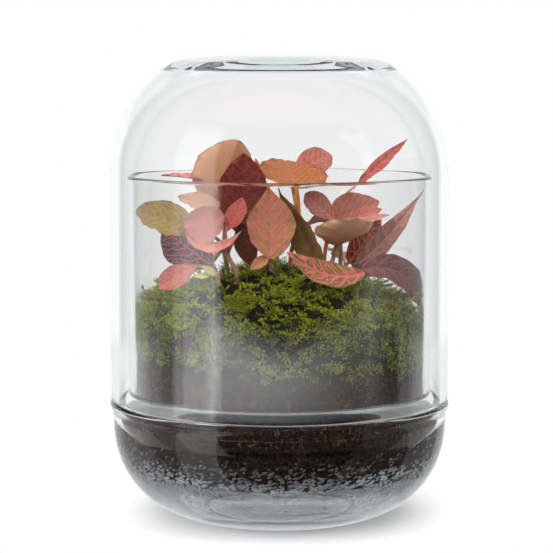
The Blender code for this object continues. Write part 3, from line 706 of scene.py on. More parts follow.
def calc(tree, operation, first, second=0.0, third=0.0):
    """Result of one sum on shader values."""
    return node(tree, "ShaderNodeMath", {0: first, 1: second, 2: third},
                operation=operation).outputs[0]


def fade(tree, value, low, high, start=0.0, end=1.0):
    """Smooth change from start to end as the value goes from low to high."""
    return node(tree, "ShaderNodeMapRange",
                {"Value": value, "From Min": low, "From Max": high, "To Min": start,
                 "To Max": end}, interpolation_type="SMOOTHSTEP").outputs[0]


def mix(tree, share, first, second):
    """Colour between two colours."""
    colours = [(*c, 1.0) if isinstance(c, (tuple, list)) and len(c) == 3 else c
               for c in (first, second)]
    return node(tree, "ShaderNodeMix", {0: share, 6: colours[0], 7: colours[1]},
                data_type="RGBA").outputs[2]


def speckle(tree, vector, scale, detail=2.0, roughness=0.5):
    """Noise from 0 to 1 over a surface."""
    return node(tree, "ShaderNodeTexNoise",
                {"Vector": vector, "Scale": scale, "Detail": detail,
                 "Roughness": roughness}).outputs[0]


def bump(tree, height, strength, distance):
    """Surface normal with a fine relief, its depth in metres."""
    return node(tree, "ShaderNodeBump", {"Height": height, "Strength": strength,
                                         "Distance": distance}).outputs[0]


def new_finish(name):
    """Empty material with its tree, its surface coordinates in metres and its output."""
    finish = bpy.data.materials.new(name)
    finish.use_nodes = True
    tree = finish.node_tree
    tree.nodes.clear()
    place_on = node(tree, "ShaderNodeTexCoord").outputs["Object"]
    output = node(tree, "ShaderNodeOutputMaterial")
    return finish, tree, place_on, output


def lay_body(tree, output, settings):
    """Give a material one plain body with these settings."""
    body = node(tree, "ShaderNodeBsdfPrincipled", settings).outputs[0]
    tree.links.new(body, output.inputs["Surface"])


def glass_finish(name, glass, misted=False):
    """Clear glass that is tinted in depth, with faint waves and smears."""
    finish, tree, coords, output = new_finish(name)
    waves = speckle(tree, coords, 22.0, 1.0)
    smears = fade(tree, speckle(tree, coords, 34.0, 4.0, 0.65), 0.60, 0.74, 0.0, 0.03)
    rough, relief = smears, waves
    if misted:
        patches = speckle(tree, coords, 120.0, 5.0, 0.7)
        beads = node(tree, "ShaderNodeTexVoronoi", {"Vector": coords, "Scale": 430.0}).outputs[0]
        pearls = node(tree, "ShaderNodeTexVoronoi", {"Vector": coords, "Scale": 1000.0}).outputs[0]
        height = node(tree, "ShaderNodeSeparateXYZ", {0: coords}).outputs[2]
        low = fade(tree, height, 0.030, 0.050, 1.0, 0.0)
        share = calc(tree, "MULTIPLY", fade(tree, patches, 0.34, 0.5), low)
        rough = calc(tree, "MULTIPLY", share, glass.mist)
        domes = calc(tree, "ADD", fade(tree, beads, 0.12, 0.3, 1.0, 0.0),
                     fade(tree, pearls, 0.1, 0.36, 0.45, 0.0))
        relief = calc(tree, "MULTIPLY", domes, share)
    body = node(tree, "ShaderNodeBsdfPrincipled", {
        "Base Color": (1.0, 1.0, 1.0, 1.0), "Transmission Weight": 1.0, "IOR": glass.bend,
        "Roughness": rough,
        "Normal": bump(tree, relief, 1.0 if misted else 0.04, 0.0003)}).outputs[0]
    if misted:
        haze = node(tree, "ShaderNodeBsdfDiffuse", {"Color": (0.8, 0.83, 0.84, 1.0)}).outputs[0]
        cover = calc(tree, "MULTIPLY", share, 0.04)
        body = node(tree, "ShaderNodeMixShader", {0: cover, 1: body, 2: haze}).outputs[0]
    rays = node(tree, "ShaderNodeLightPath").outputs
    passing = calc(tree, "MAXIMUM", rays["Is Shadow Ray"], rays["Is Diffuse Ray"])
    clear = node(tree, "ShaderNodeBsdfTransparent").outputs[0]
    surface = node(tree, "ShaderNodeMixShader", {0: passing, 1: body, 2: clear}).outputs[0]
    tree.links.new(surface, output.inputs["Surface"])
    depth = node(tree, "ShaderNodeVolumeAbsorption",
                 {"Color": (*glass.tint, 1.0), "Density": glass.tint_depth}).outputs[0]
    tree.links.new(depth, output.inputs["Volume"])
    return finish


def water_finish(name):
    """Clear water drops."""
    finish, tree, coords, output = new_finish(name)
    ripple = speckle(tree, coords, 900.0, 1.0)
    body = node(tree, "ShaderNodeBsdfPrincipled", {
        "Base Color": (1.0, 1.0, 1.0, 1.0), "Transmission Weight": 1.0, "IOR": 1.333,
        "Roughness": fade(tree, ripple, 0.5, 0.8, 0.0, 0.04),
        "Normal": bump(tree, ripple, 0.1, 0.0001)}).outputs[0]
    rays = node(tree, "ShaderNodeLightPath").outputs
    clear = node(tree, "ShaderNodeBsdfTransparent").outputs[0]
    surface = node(tree, "ShaderNodeMixShader",
                   {0: rays["Is Shadow Ray"], 1: body, 2: clear}).outputs[0]
    tree.links.new(surface, output.inputs["Surface"])
    return finish


def soil_finish(name, soil):
    """Damp dark soil with lighter crumbs and a broken, slightly shiny surface."""
    finish, tree, coords, output = new_finish(name)
    grain = speckle(tree, coords, 700.0, 6.0, 0.7)
    patches = speckle(tree, coords, 90.0, 3.0)
    colour = mix(tree, fade(tree, grain, 0.38, 0.72), (*soil.dark,), (*soil.light,))
    warm = mix(tree, fade(tree, patches, 0.55, 0.75, 0.0, 0.5), colour,
               tuple(c * 1.7 for c in soil.light))
    lay_body(tree, output, {
        "Base Color": warm, "Roughness": fade(tree, grain, 0.3, 0.7, 0.62, 0.95),
        "Specular IOR Level": 0.07,
        "Normal": bump(tree, grain, 0.8, 0.0006)})
    return finish


def fibre_finish(name, colour, spread=0.5):
    """Dry plant fibre, lighter and darker from one strand to the next."""
    finish, tree, coords, output = new_finish(name)
    strands = speckle(tree, coords, 420.0, 2.0)
    dark = tuple(c * (1.0 - spread) for c in colour)
    tint = mix(tree, fade(tree, strands, 0.35, 0.65), dark, (*colour,))
    lay_body(tree, output, {
        "Base Color": tint, "Roughness": fade(tree, strands, 0.3, 0.7, 0.5, 0.75),
        "Normal": bump(tree, speckle(tree, coords, 2500.0), 0.4, 0.0001)})
    return finish


def moss_finish(name, moss):
    """Moss that goes from deep shade over old growth to fresh yellow-green tips."""
    finish, tree, coords, output = new_finish(name)
    tone = node(tree, "ShaderNodeAttribute", attribute_name="tone").outputs["Fac"]
    reach = node(tree, "ShaderNodeAttribute", attribute_name="reach").outputs["Fac"]
    leaflets = speckle(tree, coords, 1500.0, 2.0)
    patches = speckle(tree, coords, 60.0, 2.0)
    fresh = calc(tree, "ADD", calc(tree, "MULTIPLY", tone, 0.5),
                 fade(tree, patches, 0.3, 0.7, 0.0, 0.5))
    growth = mix(tree, fresh, (*moss.old,), (*moss.young,))
    lively = mix(tree, fade(tree, leaflets, 0.3, 0.7, 0.0, 0.45), growth, (*moss.old,))
    # Painted shade: where the reach is low, deep in the moss, the colour goes over to the painted
    # shade colour.
    colour = mix(tree, fade(tree, reach, 0.24, 0.86), (*moss.shade,), lively)
    lay_body(tree, output, {
        "Base Color": colour, "Roughness": fade(tree, leaflets, 0.3, 0.7, 0.4, 0.6),
        "Specular IOR Level": 0.1,
        "Subsurface Weight": 0.12, "Subsurface Radius": (0.8, 1.0, 0.2), "Subsurface Scale": 0.001,
        "Normal": bump(tree, leaflets, 0.5, 0.0002)})
    return finish


def leaf_finish(name, look, plant, underside=False):
    """Nerve plant blade: patches between slanting, forking veins, a fine net and a margin."""
    blade, patch, vein, margin, under, width, strength, net = LOOKS[look]
    blade, patch, vein, margin, under = (paint(*c) for c in (blade, patch, vein, margin, under))
    if underside:
        blade, patch = under, tuple(c * 0.88 for c in under)
        strength, net = strength * 0.5, net * 0.6
    finish, tree, coords, output = new_finish(name)
    along, across = node(tree, "ShaderNodeSeparateXYZ", {
        0: node(tree, "ShaderNodeUVMap", uv_map="blade").outputs[0]}).outputs[:2]
    order, side = node(tree, "ShaderNodeSeparateXYZ", {
        0: node(tree, "ShaderNodeUVMap", uv_map="veins").outputs[0]}).outputs[:2]
    outward = calc(tree, "ABSOLUTE", calc(tree, "MULTIPLY_ADD", across, 2.0, -1.0))
    drift = speckle(tree, coords, 190.0, 2.0)
    sway = speckle(tree, coords, 470.0, 1.0)
    wander = calc(tree, "MULTIPLY_ADD", drift, 0.85, order)
    from_vein = calc(tree, "PINGPONG", calc(tree, "MULTIPLY_ADD", sway, 0.24, wander), 0.5)
    from_midrib = calc(tree, "ABSOLUTE", calc(tree, "MULTIPLY_ADD", sway, 0.06,
                                              calc(tree, "ADD", side, -0.03)))
    slim = calc(tree, "MULTIPLY_ADD", outward, -0.11 * width, 0.17 * width)
    slant = fade(tree, calc(tree, "DIVIDE", from_vein, slim), 0.5, 1.25, 1.0, 0.0)
    rib_width = calc(tree, "MULTIPLY_ADD", along, -0.16 * width, 0.22 * width)
    rib = fade(tree, calc(tree, "DIVIDE", from_midrib, rib_width), 0.35, 0.9, 1.0, 0.0)
    spread = node(tree, "ShaderNodeCombineXYZ", {
        0: wander, 1: calc(tree, "MULTIPLY_ADD", sway, 0.3, side)}).outputs[0]
    forks = node(tree, "ShaderNodeTexVoronoi", {"Vector": spread, "Scale": 1.25},
                 feature="DISTANCE_TO_EDGE", voronoi_dimensions="2D").outputs[0]
    forked = fade(tree, forks, 0.03 * width, 0.085 * width + 0.02, 1.0, 0.0)
    forked = calc(tree, "MULTIPLY", forked, fade(tree, outward, 0.0, 0.6, 0.5, 1.0))
    cells = node(tree, "ShaderNodeTexVoronoi", {"Vector": spread, "Scale": 4.6},
                 feature="DISTANCE_TO_EDGE", voronoi_dimensions="2D").outputs[0]
    fine = fade(tree, cells, 0.02, 0.12, net, 0.0)
    lines = calc(tree, "MAXIMUM", calc(tree, "MAXIMUM", rib, slant),
                 calc(tree, "MAXIMUM", forked, fine))
    halo = calc(tree, "MULTIPLY", fade(tree, from_vein, 0.05, 0.3), fade(tree, forks, 0.03, 0.2))
    mottle = calc(tree, "MULTIPLY", halo, fade(tree, speckle(tree, coords, 520.0, 3.0), 0.25, 0.5))
    flesh = mix(tree, mottle, blade, patch)
    broad = mix(tree, fade(tree, speckle(tree, coords, 75.0, 3.0), 0.3, 0.7, 0.0, 0.55), flesh,
                tuple(c * 0.66 for c in blade))
    veined = mix(tree, calc(tree, "MULTIPLY", lines, strength), broad, vein)
    pores = speckle(tree, coords, 1700.0, 2.0)
    spotted = mix(tree, fade(tree, pores, 0.62, 0.78, 0.0, 0.35), veined,
                  tuple(min(1.0, c * 1.6 + 0.05) for c in blade))
    edge = calc(tree, "MULTIPLY_ADD", drift, 0.06, outward)
    colour = mix(tree, fade(tree, edge, 0.94, 1.02, 0.0, 0.85), spotted, margin)
    relief = calc(tree, "MULTIPLY_ADD", lines, 1.2 if underside else -0.9, pores)
    lay_body(tree, output, {
        "Base Color": colour, "Roughness": fade(tree, pores, 0.3, 0.7, 0.36, 0.56),
        "Specular IOR Level": 0.4, "Subsurface Weight": plant.glow,
        "Subsurface Radius": (1.0, 0.45, 0.3), "Subsurface Scale": 0.0012,
        "Normal": bump(tree, relief, 0.6, 0.00025)})
    return finish


def stalk_finish(name, colour):
    """Fleshy stalk, streaked along its length and paler in blotches."""
    finish, tree, coords, output = new_finish(name)
    stretched = node(tree, "ShaderNodeMapping", {"Vector": coords, "Scale": (900.0, 900.0, 90.0)})
    streaks = speckle(tree, stretched.outputs[0], 1.0, 2.0)
    blotches = speckle(tree, coords, 140.0, 2.0)
    pale = tuple(c * 0.4 + p * 0.6 for c, p in zip(colour, paint(190, 165, 110)))
    tint = mix(tree, fade(tree, blotches, 0.35, 0.65), pale, tuple(c * 0.75 for c in colour))
    streaked = mix(tree, fade(tree, streaks, 0.4, 0.7, 0.0, 0.4), tint, (*colour,))
    lay_body(tree, output, {
        "Base Color": streaked, "Roughness": fade(tree, streaks, 0.3, 0.7, 0.4, 0.6),
        "Subsurface Weight": 0.2, "Subsurface Radius": (1.0, 0.5, 0.3), "Subsurface Scale": 0.0015,
        "Normal": bump(tree, streaks, 0.4, 0.0002)})
    return finish


def floor_finish(name, stage):
    """Matt white board with the faintest tooth, which fades into the white room at its rim."""
    finish, tree, coords, output = new_finish(name)
    tooth = speckle(tree, coords, 600.0, 3.0)
    body = node(tree, "ShaderNodeBsdfPrincipled", {
        "Base Color": mix(tree, tooth, (0.90, 0.90, 0.90), (0.94, 0.94, 0.94)),
        "Roughness": fade(tree, tooth, 0.3, 0.7, 0.8, 0.95), "Specular IOR Level": 0.1,
        "Normal": bump(tree, tooth, 0.05, 0.0002)}).outputs[0]
    from_middle = node(tree, "ShaderNodeVectorMath", {0: coords},
                       operation="LENGTH").outputs["Value"]
    rim = fade(tree, from_middle, stage.floor_radius * FLOOR_FADE[0],
               stage.floor_radius * FLOOR_FADE[1])
    clear = node(tree, "ShaderNodeBsdfTransparent").outputs[0]
    surface = node(tree, "ShaderNodeMixShader", {0: rim, 1: body, 2: clear}).outputs[0]
    tree.links.new(surface, output.inputs["Surface"])
    return finish


# Glass


def belly_outline():
    """Outer curve of the bowl, from its widest place down to the foot."""
    steps = 36
    points = []
    for i in range(steps + 1):
        angle = FOOT_ANGLE * i / steps
        inward = 1.0 - math.cos(angle) ** (2.0 / BELLY_CURVE_POWER)
        down = math.sin(angle) ** (2.0 / BELLY_CURVE_POWER)
        points.append((BELLY_RADIUS - BELLY_CURVE_WIDTH * inward, BELLY_HEIGHT * (1.0 - down)))
    points[-1] = (points[-1][0], 0.0)
    return points


def bowl_inside(offset):
    """Inner curve of the bowl from its floor to the neck, moved inwards by an offset."""
    centre = (BOWL_RADIUS - BOWL_CURVE_WIDTH, BOWL_HEIGHT)
    radii = (BOWL_CURVE_WIDTH - offset, BOWL_HEIGHT - FLOOR_HEIGHT - offset)
    curve = arc(centre, radii, -math.pi / 2, 0.0, 30)
    inside = NECK_INSIDE - offset
    shoulder = arc((inside, BOWL_HEIGHT),
                   (radii[0] + centre[0] - inside, SHOULDER_TOP - BOWL_HEIGHT),
                   SHOULDER_START, math.pi / 2, 9)
    return curve + shoulder


def make_vessel(glass):
    """Bowl, ledge, neck and rounded rim in one piece of blown glass."""
    rim = NECK_WALL / 2
    inner = [(0.0, FLOOR_HEIGHT), (FLOOR_RING_RADIUS, FLOOR_HEIGHT)]
    inner += bowl_inside(0.0)
    outer = arc((NECK_INSIDE + rim, RIM_HEIGHT - rim), (rim, rim), math.pi, 0.0, 14)
    outer += arc((NECK_RADIUS + NECK_FILLET, LEDGE_HEIGHT + NECK_FILLET),
                 (NECK_FILLET, NECK_FILLET), math.pi, 1.5 * math.pi, 8)
    lip = soften(LIP_OUTLINE, 6)
    inner = steady(inner)
    profile = inner + steady([inner[-1]] + outer + lip + belly_outline()[1:] + [(0.0, 0.0)])[1:]
    points, faces, steps = turned(profile, glass.sides)
    slots = [1 if steps[i] < len(inner) and profile[steps[i]][1] < MIST_TOP else 0
             for i in range(len(faces))]
    finishes = [glass_finish("vessel_glass", glass), glass_finish("misted_glass", glass, True)]
    vessel = mesh_piece("vessel", points, faces, finishes, slots)
    face_outwards(vessel)
    return place(vessel, "vessel_glass", "glass_vessel")


def make_cover(glass):
    """Tall bell of glass with round shoulders and a thick, nearly flat crown."""
    crown = [(CROWN_RADIUS * step, CROWN_HEIGHT - CROWN_DROP * step ** CROWN_POWER)
             for step in (0.0, 0.4, 0.7, 0.88, 1.0)]
    reach = COVER_SHOULDER_RADIUS
    shoulder = arc(COVER_SHOULDER_CENTRE, (reach, reach), COVER_SHOULDER_END, 0.0, 12)
    inner_reach = reach - COVER_WALL
    top_angle = math.asin((INNER_CORNER_HEIGHT - COVER_SHOULDER_CENTRE[1]) / inner_reach)
    inner = arc(COVER_SHOULDER_CENTRE, (inner_reach, inner_reach), 0.0, top_angle, 16)
    corner = inner[-1][0]
    rise = INNER_CROWN_HEIGHT - INNER_CORNER_HEIGHT
    inner += [(corner + (CROWN_SAG_RADIUS - corner) * share,
               INNER_CORNER_HEIGHT + rise * (1.0 - (1.0 - share) ** INNER_CROWN_POWER))
              for share in (0.15, 0.3, 0.45, 0.6, 0.8)]
    inner += [(CROWN_SAG_RADIUS * share,
               INNER_CROWN_HEIGHT - CROWN_SAG * (1.0 - share ** 2) ** CROWN_SAG_POWER)
              for share in (1.0, 0.97, 0.92, 0.84, 0.72, 0.55, 0.35, 0.15, 0.0)]
    lip = COVER_WALL / 2
    edge = arc((COVER_RADIUS - lip, COVER_BOTTOM + COVER_EDGE_DEPTH), (lip, COVER_EDGE_DEPTH),
               0.0, -math.pi, 10)
    profile = steady(soften(crown + shoulder, 4) + edge + soften(inner, 4))
    points, faces, _ = turned(profile, glass.sides)
    cover = mesh_piece("cover", points, faces, [glass_finish("cover_glass", glass)])
    face_outwards(cover)
    return place(cover, "cover_glass", "glass_cover")


def bowl_wall(height):
    """Radius of the bowl's inner wall at a height, and the wall's slope there."""
    depth = (BOWL_HEIGHT - height) / (BOWL_HEIGHT - FLOOR_HEIGHT)
    angle = math.asin(min(max(depth, -1.0), 1.0))
    radius = BOWL_RADIUS - BOWL_CURVE_WIDTH + BOWL_CURVE_WIDTH * math.cos(angle)
    return radius, angle


def make_drops(glass):
    """Drops of condensation on the inside of the bowl, thickest near its bottom."""
    rng = random.Random(5)
    shape = Shape()
    rings, sides = DROP_RINGS, DROP_SIDES
    while len(shape.slots) < glass.drop_count * sides * rings:
        height = DROP_LOWEST + DROP_SPAN * rng.random() ** 1.4
        angle = rng.uniform(0.0, math.tau)
        crowd = noise.noise(Vector((math.cos(angle), math.sin(angle), height / 60)) * 6.0)
        if crowd < rng.uniform(-0.55, 0.3):
            continue
        radius, slope = bowl_wall(height)
        outward = Vector((math.cos(angle) * math.cos(slope), math.sin(angle) * math.cos(slope),
                          -math.sin(slope)))
        centre = Vector((math.cos(angle) * radius, math.sin(angle) * radius, height))
        centre -= outward * DROP_SUNK
        turn_to = (-outward).to_track_quat("Z", "Y")
        size = glass.drop_radius / MM * rng.uniform(0.35, 1.0) ** 1.5
        tall = rng.uniform(0.38, 0.6)
        points, faces = [], []
        for i in range(rings):
            tilt = math.radians(90) * i / rings
            for k in range(sides):
                turn = math.tau * (k + 0.5 * i) / sides
                local = Vector((math.cos(turn) * math.cos(tilt), math.sin(turn) * math.cos(tilt),
                                tall * math.sin(tilt))) * size
                points.append(centre + turn_to @ local)
        points.append(centre + turn_to @ Vector((0.0, 0.0, tall * size)))
        for i in range(rings - 1):
            for k in range(sides):
                n = (k + 1) % sides
                faces.append((i * sides + k, i * sides + n, (i + 1) * sides + n,
                              (i + 1) * sides + k))
        for k in range(sides):
            faces.append(((rings - 1) * sides + k, (rings - 1) * sides + (k + 1) % sides,
                          rings * sides))
        faces.append(tuple(range(sides))[::-1])
        shape.add(points, faces)
    drops = shape.piece("water_drops", [water_finish("water")])
    return place(drops, "vessel_glass")


# Soil and moss


def soil_surface(x, y):
    """Height of the soil, higher on the left, with low lumps."""
    lump = noise.noise(Vector((x, y, 0.0)) / SOIL_LUMP_WIDTH) * SOIL_LUMP
    return SOIL_TOP - SOIL_TILT * x / NECK_RADIUS + lump


def moss_surface(x, y):
    """Height of the moss mound, with soft lumps and the relief of its tufts."""
    radius = math.hypot(x, y)
    rise = (MOSS_PEAK - MOSS_RIM_HEIGHT) * (1.0 - (radius / MOSS_RIM_RADIUS) ** 2)
    lump = noise.noise(Vector((x, y, 1.0)) / MOSS_LUMP_WIDTH) * MOSS_LUMP
    tuft = noise.noise(Vector((x, y, 3.0)) / MOSS_TUFT_WIDTH) * MOSS_TUFT
    return MOSS_RIM_HEIGHT + rise + lump + tuft


def soil_wall(clearance):
    """Curve of the soil's side from the bowl's floor to its top."""
    wall = bowl_inside(clearance)
    radius, height = wall[-1]
    steps = 10
    return wall + [(radius, height + (SOIL_TOP - height) * i / steps)
                   for i in range(1, steps + 1)]


def on_soil_wall(rng, wall, inset):
    """Random place just inside the glass, with the direction out of the soil."""
    heights = [height for _, height in wall]
    target = rng.uniform(heights[0] + 0.5, heights[-1] - 0.5)
    i = max(k for k in range(len(wall) - 1) if wall[k][1] <= target)
    (r0, h0), (r1, h1) = wall[i], wall[i + 1]
    share = (target - h0) / max(h1 - h0, 0.001)
    radius = r0 + (r1 - r0) * share - inset
    angle = rng.uniform(0.0, math.tau)
    slope = math.atan2(h1 - h0, r1 - r0)
    outward = Vector((math.cos(angle) * math.sin(slope), math.sin(angle) * math.sin(slope),
                      -math.cos(slope)))
    return Vector((radius * math.cos(angle), radius * math.sin(angle), target)), outward


def make_soil(soil):
    """Potting soil that fills the bowl, with crumbs and coir fibres against the glass."""
    relief = soil.relief / MM
    wall = soil_wall(SOIL_CLEARANCE)
    dense = []
    for (r0, h0), (r1, h1) in zip(wall, wall[1:]):
        dense += [(r0 + (r1 - r0) * k / 3, h0 + (h1 - h0) * k / 3) for k in range(3)]
    dense.append(wall[-1])
    crown = [(wall[-1][0] * share, SOIL_TOP) for share in (0.9, 0.7, 0.45, 0.2, 0.0)]
    floor = [(dense[0][0] * share, dense[0][1]) for share in
             (0.0, 0.12, 0.24, 0.36, 0.46, 0.56, 0.64, 0.72, 0.79, 0.86, 0.93)]
    points, faces, _ = turned(floor + dense + crown, SOIL_SIDES)
    shaped = []
    for x, y, z in points:
        radius = math.hypot(x, y)
        if z >= SOIL_TOP - 0.001 and radius < wall[-1][0] * 0.99:
            shaped.append((x, y, soil_surface(x, y)))
            continue
        grit = abs(noise.fractal(Vector((x, y, z)) / SOIL_GRIT_WIDTH, 1.0, 2.0, 3)) * relief
        settled = max(0.0, 1.0 - max(0.0, z - FLOOR_HEIGHT - SOIL_CLEARANCE) / SETTLED_DEPTH)
        pressed = (SOIL_CLEARANCE - DRY_GAP) * settled
        grit = grit * (1.0 - settled) + max(0.0, grit - 0.45 * relief) * settled * 1.6
        pull = 1.0 - (grit - pressed * radius / BOWL_RADIUS) / max(radius, 8.0)
        lift = (grit * 0.6 - pressed) if z < BOWL_HEIGHT else 0.0
        share = 1.0 - radius / BOWL_RADIUS if z > FLOOR_HEIGHT + 4.0 else 1.0
        wet = min(1.0, (z - WET_BAND[0]) / 3.0, (WET_BAND[1] - z) / 6.0)
        if wet > 0.0:
            glass_radius, slope = bowl_wall(z)
            grain = abs(noise.fractal(Vector((x, y, z)) / WET_GRIT_WIDTH, 1.0, 2.0, 2)) * relief
            kept = 0.16 + 0.5 * (z - WET_BAND[0]) / (WET_BAND[1] - WET_BAND[0])
            gap = max(0.0, grain - kept * relief) * 1.5 - PRESSED_IN
            pull += (glass_radius - gap / math.cos(slope) - radius * pull) / radius * wet
        shaped.append((x * pull, y * pull, z + lift * share))
    rng = random.Random(3)
    body = mesh_piece("soil", shaped, faces, [soil_finish("soil", soil)])
    face_outwards(body)
    place(body, "potting_soil", "potting_soil")

    grains = Shape()
    ball = bmesh.new()
    bmesh.ops.create_icosphere(ball, subdivisions=1, radius=1.0)
    ball_points = [tuple(v.co) for v in ball.verts]
    ball_faces = [tuple(v.index for v in f.verts) for f in ball.faces]
    ball.free()
    for _ in range(soil.crumb_count):
        spot, outward = on_soil_wall(rng, wall, 0.35)
        size = rng.uniform(0.25, 0.75)
        turn_to = Matrix.Rotation(rng.uniform(0, math.tau), 3, outward) @ \
            outward.to_track_quat("Z", "Y").to_matrix()
        lumps = [turn_to @ Vector((x * size * rng.uniform(0.7, 1.3),
                                   y * size * rng.uniform(0.7, 1.3), z * size * 0.5)) + spot
                 for x, y, z in ball_points]
        grains.add(lumps, ball_faces)
    crumbs = grains.piece("soil_crumbs", [soil_finish("soil_crumb", soil)])
    place(crumbs, "potting_soil")

    strands = Shape()
    for _ in range(soil.fibre_count):
        spot, outward = on_soil_wall(rng, wall, 0.05)
        side = outward.orthogonal().normalized()
        side.rotate(Matrix.Rotation(rng.uniform(0, math.tau), 3, outward))
        bend = outward.cross(side) * rng.uniform(-0.5, 0.5)
        length = rng.uniform(0.8, 3.2) * (1.6 if rng.random() < 0.08 else 1.0)
        width = rng.uniform(0.06, 0.16)
        path = [spot + side * length * t + bend * length * t * t - outward * 0.35 * t * t
                for t in (-0.5, -0.2, 0.15, 0.5)]
        tube_into(strands, path, [width * 0.5, width, width, width * 0.3], 4, 0)
    fibres = strands.piece("soil_fibres", [fibre_finish("coir_fibre", tuple(soil.fibre))])
    place(fibres, "potting_soil")


def tube_into(shape, path, radii, sides, slot):
    """Add a closed tube along a path, with a radius at each of its points."""
    last = len(path) - 1
    headings = [(path[min(i + 1, last)] - path[max(i - 1, 0)]).normalized()
                for i in range(last + 1)]
    across = headings[0].orthogonal().normalized()
    points, faces = [], []
    for i, heading in enumerate(headings):
        across = (across - heading * across.dot(heading)).normalized()
        other = heading.cross(across)
        for k in range(sides):
            angle = math.tau * k / sides
            points.append(path[i] + (across * math.cos(angle) + other * math.sin(angle)) * radii[i])
    for i in range(last):
        for k in range(sides):
            n = (k + 1) % sides
            faces.append((i * sides + k, i * sides + n, (i + 1) * sides + n, (i + 1) * sides + k))
    faces.append(tuple(range(sides))[::-1])
    faces.append(tuple(range(last * sides, (last + 1) * sides)))
    shape.add(points, faces, slot)


def shoot_form(rng):
    """One branching moss shoot of unit length along +Z, clothed in small leaves."""
    points, faces, reach = [], [], []
    arch, sway = rng.uniform(0.08, 0.26), rng.uniform(-0.08, 0.08)

    def spine(t):
        return Vector((sway * math.sin(3.0 * t), arch * t * t, t))

    def clothe(start, end, whorls, size, near, far):
        heading = (end - start).normalized()
        across = heading.orthogonal().normalized()
        other = heading.cross(across)
        for i in range(whorls):
            t = (i + 0.6) / whorls
            for k in range(3):
                angle = math.tau * (k / 3 + 0.382 * i) + rng.uniform(-0.4, 0.4)
                out = across * math.cos(angle) + other * math.sin(angle)
                side = heading.cross(out)
                slant = math.radians(rng.uniform(26, 50) + 26 * t ** 3)
                aim = out * math.cos(slant) + heading * math.sin(slant)
                length = size * rng.uniform(0.8, 1.25)
                root = start.lerp(end, t)
                middle = root + aim * length * 0.5 + out * 0.008
                tip = root + aim * length + heading * 0.012
                first = len(points)
                points.extend((root, middle - side * 0.021, tip, middle + side * 0.021))
                # Painted shade: each leaf is darker at its root and lighter at its tip, and darker
                # low on the shoot, through the reach that the moss finish reads.
                depth = near + (far - near) * t
                reach.extend((depth, depth + 0.1, min(depth + 0.45, 1.0), depth + 0.1))
                faces.append((first, first + 1, first + 2, first + 3))

    steps = 4
    for i in range(steps + 1):
        centre = spine(i / steps)
        half = 0.02 * (1.0 - 0.6 * i / steps)
        for x, y in ((-half, -half), (half, -half), (0.0, half)):
            points.append(centre + Vector((x, y, 0.0)))
            # Painted shade: the shoot's stem is dark at its foot and a little lighter higher up.
            reach.append(0.1 + 0.3 * i / steps)
    for i in range(steps):
        for k in range(3):
            n = (k + 1) % 3
            faces.append((3 * i + k, 3 * i + n, 3 * i + 3 + n, 3 * i + 3 + k))
        clothe(spine(i / steps), spine((i + 1) / steps), 3 if i == steps - 1 else 2, 0.085,
               0.12 + 0.12 * i, 0.24 + 0.12 * i)
    branches = 6
    for i in range(branches):
        t = 0.18 + 0.62 * i / (branches - 1)
        spread = 1.0 if i % 2 else -1.0
        aim = Vector((spread * rng.uniform(0.6, 0.95), rng.uniform(-0.5, 0.35),
                      rng.uniform(0.5, 0.9)))
        length = (0.36 - 0.16 * t) * rng.uniform(0.8, 1.2)
        start = spine(t)
        clothe(start, start + aim.normalized() * length, 5, 0.08, 0.15 + 0.2 * t, 0.55)
    return np.array([tuple(p) for p in points]), faces, np.array(reach)


def lay_shoots(name, spots, finish, rng):
    """Set moss shoots at many spots, each a place, a heading, an upper side and a length."""
    forms = [shoot_form(rng) for _ in range(SHOOT_FORMS)]
    points, faces, tone, reach = [], [], [], []
    size = 0
    limit = NECK_INSIDE - 0.35
    for spot, heading, upper, length in spots:
        form_points, form_faces, form_reach = forms[rng.randrange(len(forms))]
        heading = heading.normalized()
        side = heading.cross(upper).normalized()
        front = side.cross(heading)
        frame_of = np.array([side, -front, heading]) * length
        frame_of[0] *= rng.uniform(0.8, 1.15)
        placed = form_points @ frame_of + np.array(spot)
        radii = np.hypot(placed[:, 0], placed[:, 1])
        inside = limit - 0.15 * rng.random()
        squeeze = np.where(radii > limit, inside / np.maximum(radii, 0.001), 1.0)
        placed[:, :2] *= squeeze[:, None]
        points.append(placed)
        faces += [tuple(j + size for j in face) for face in form_faces]
        tone.append(np.full(len(placed), rng.random()))
        # The reach of each point carries the shoot's painted shade.
        reach.append(form_reach)
        size += len(placed)
    return mesh_piece(name, np.vstack(points), faces, [finish], tone=np.concatenate(tone),
                      reach=np.concatenate(reach))


def moss_fringe(angle):
    """Height to which the moss hangs at the glass, ragged and lower towards the right."""
    ragged = noise.noise(Vector((math.cos(angle), math.sin(angle), 0.0)) * 9.0) * 3.0
    return SOIL_TOP - 2.5 - SOIL_TILT * math.cos(angle) + ragged


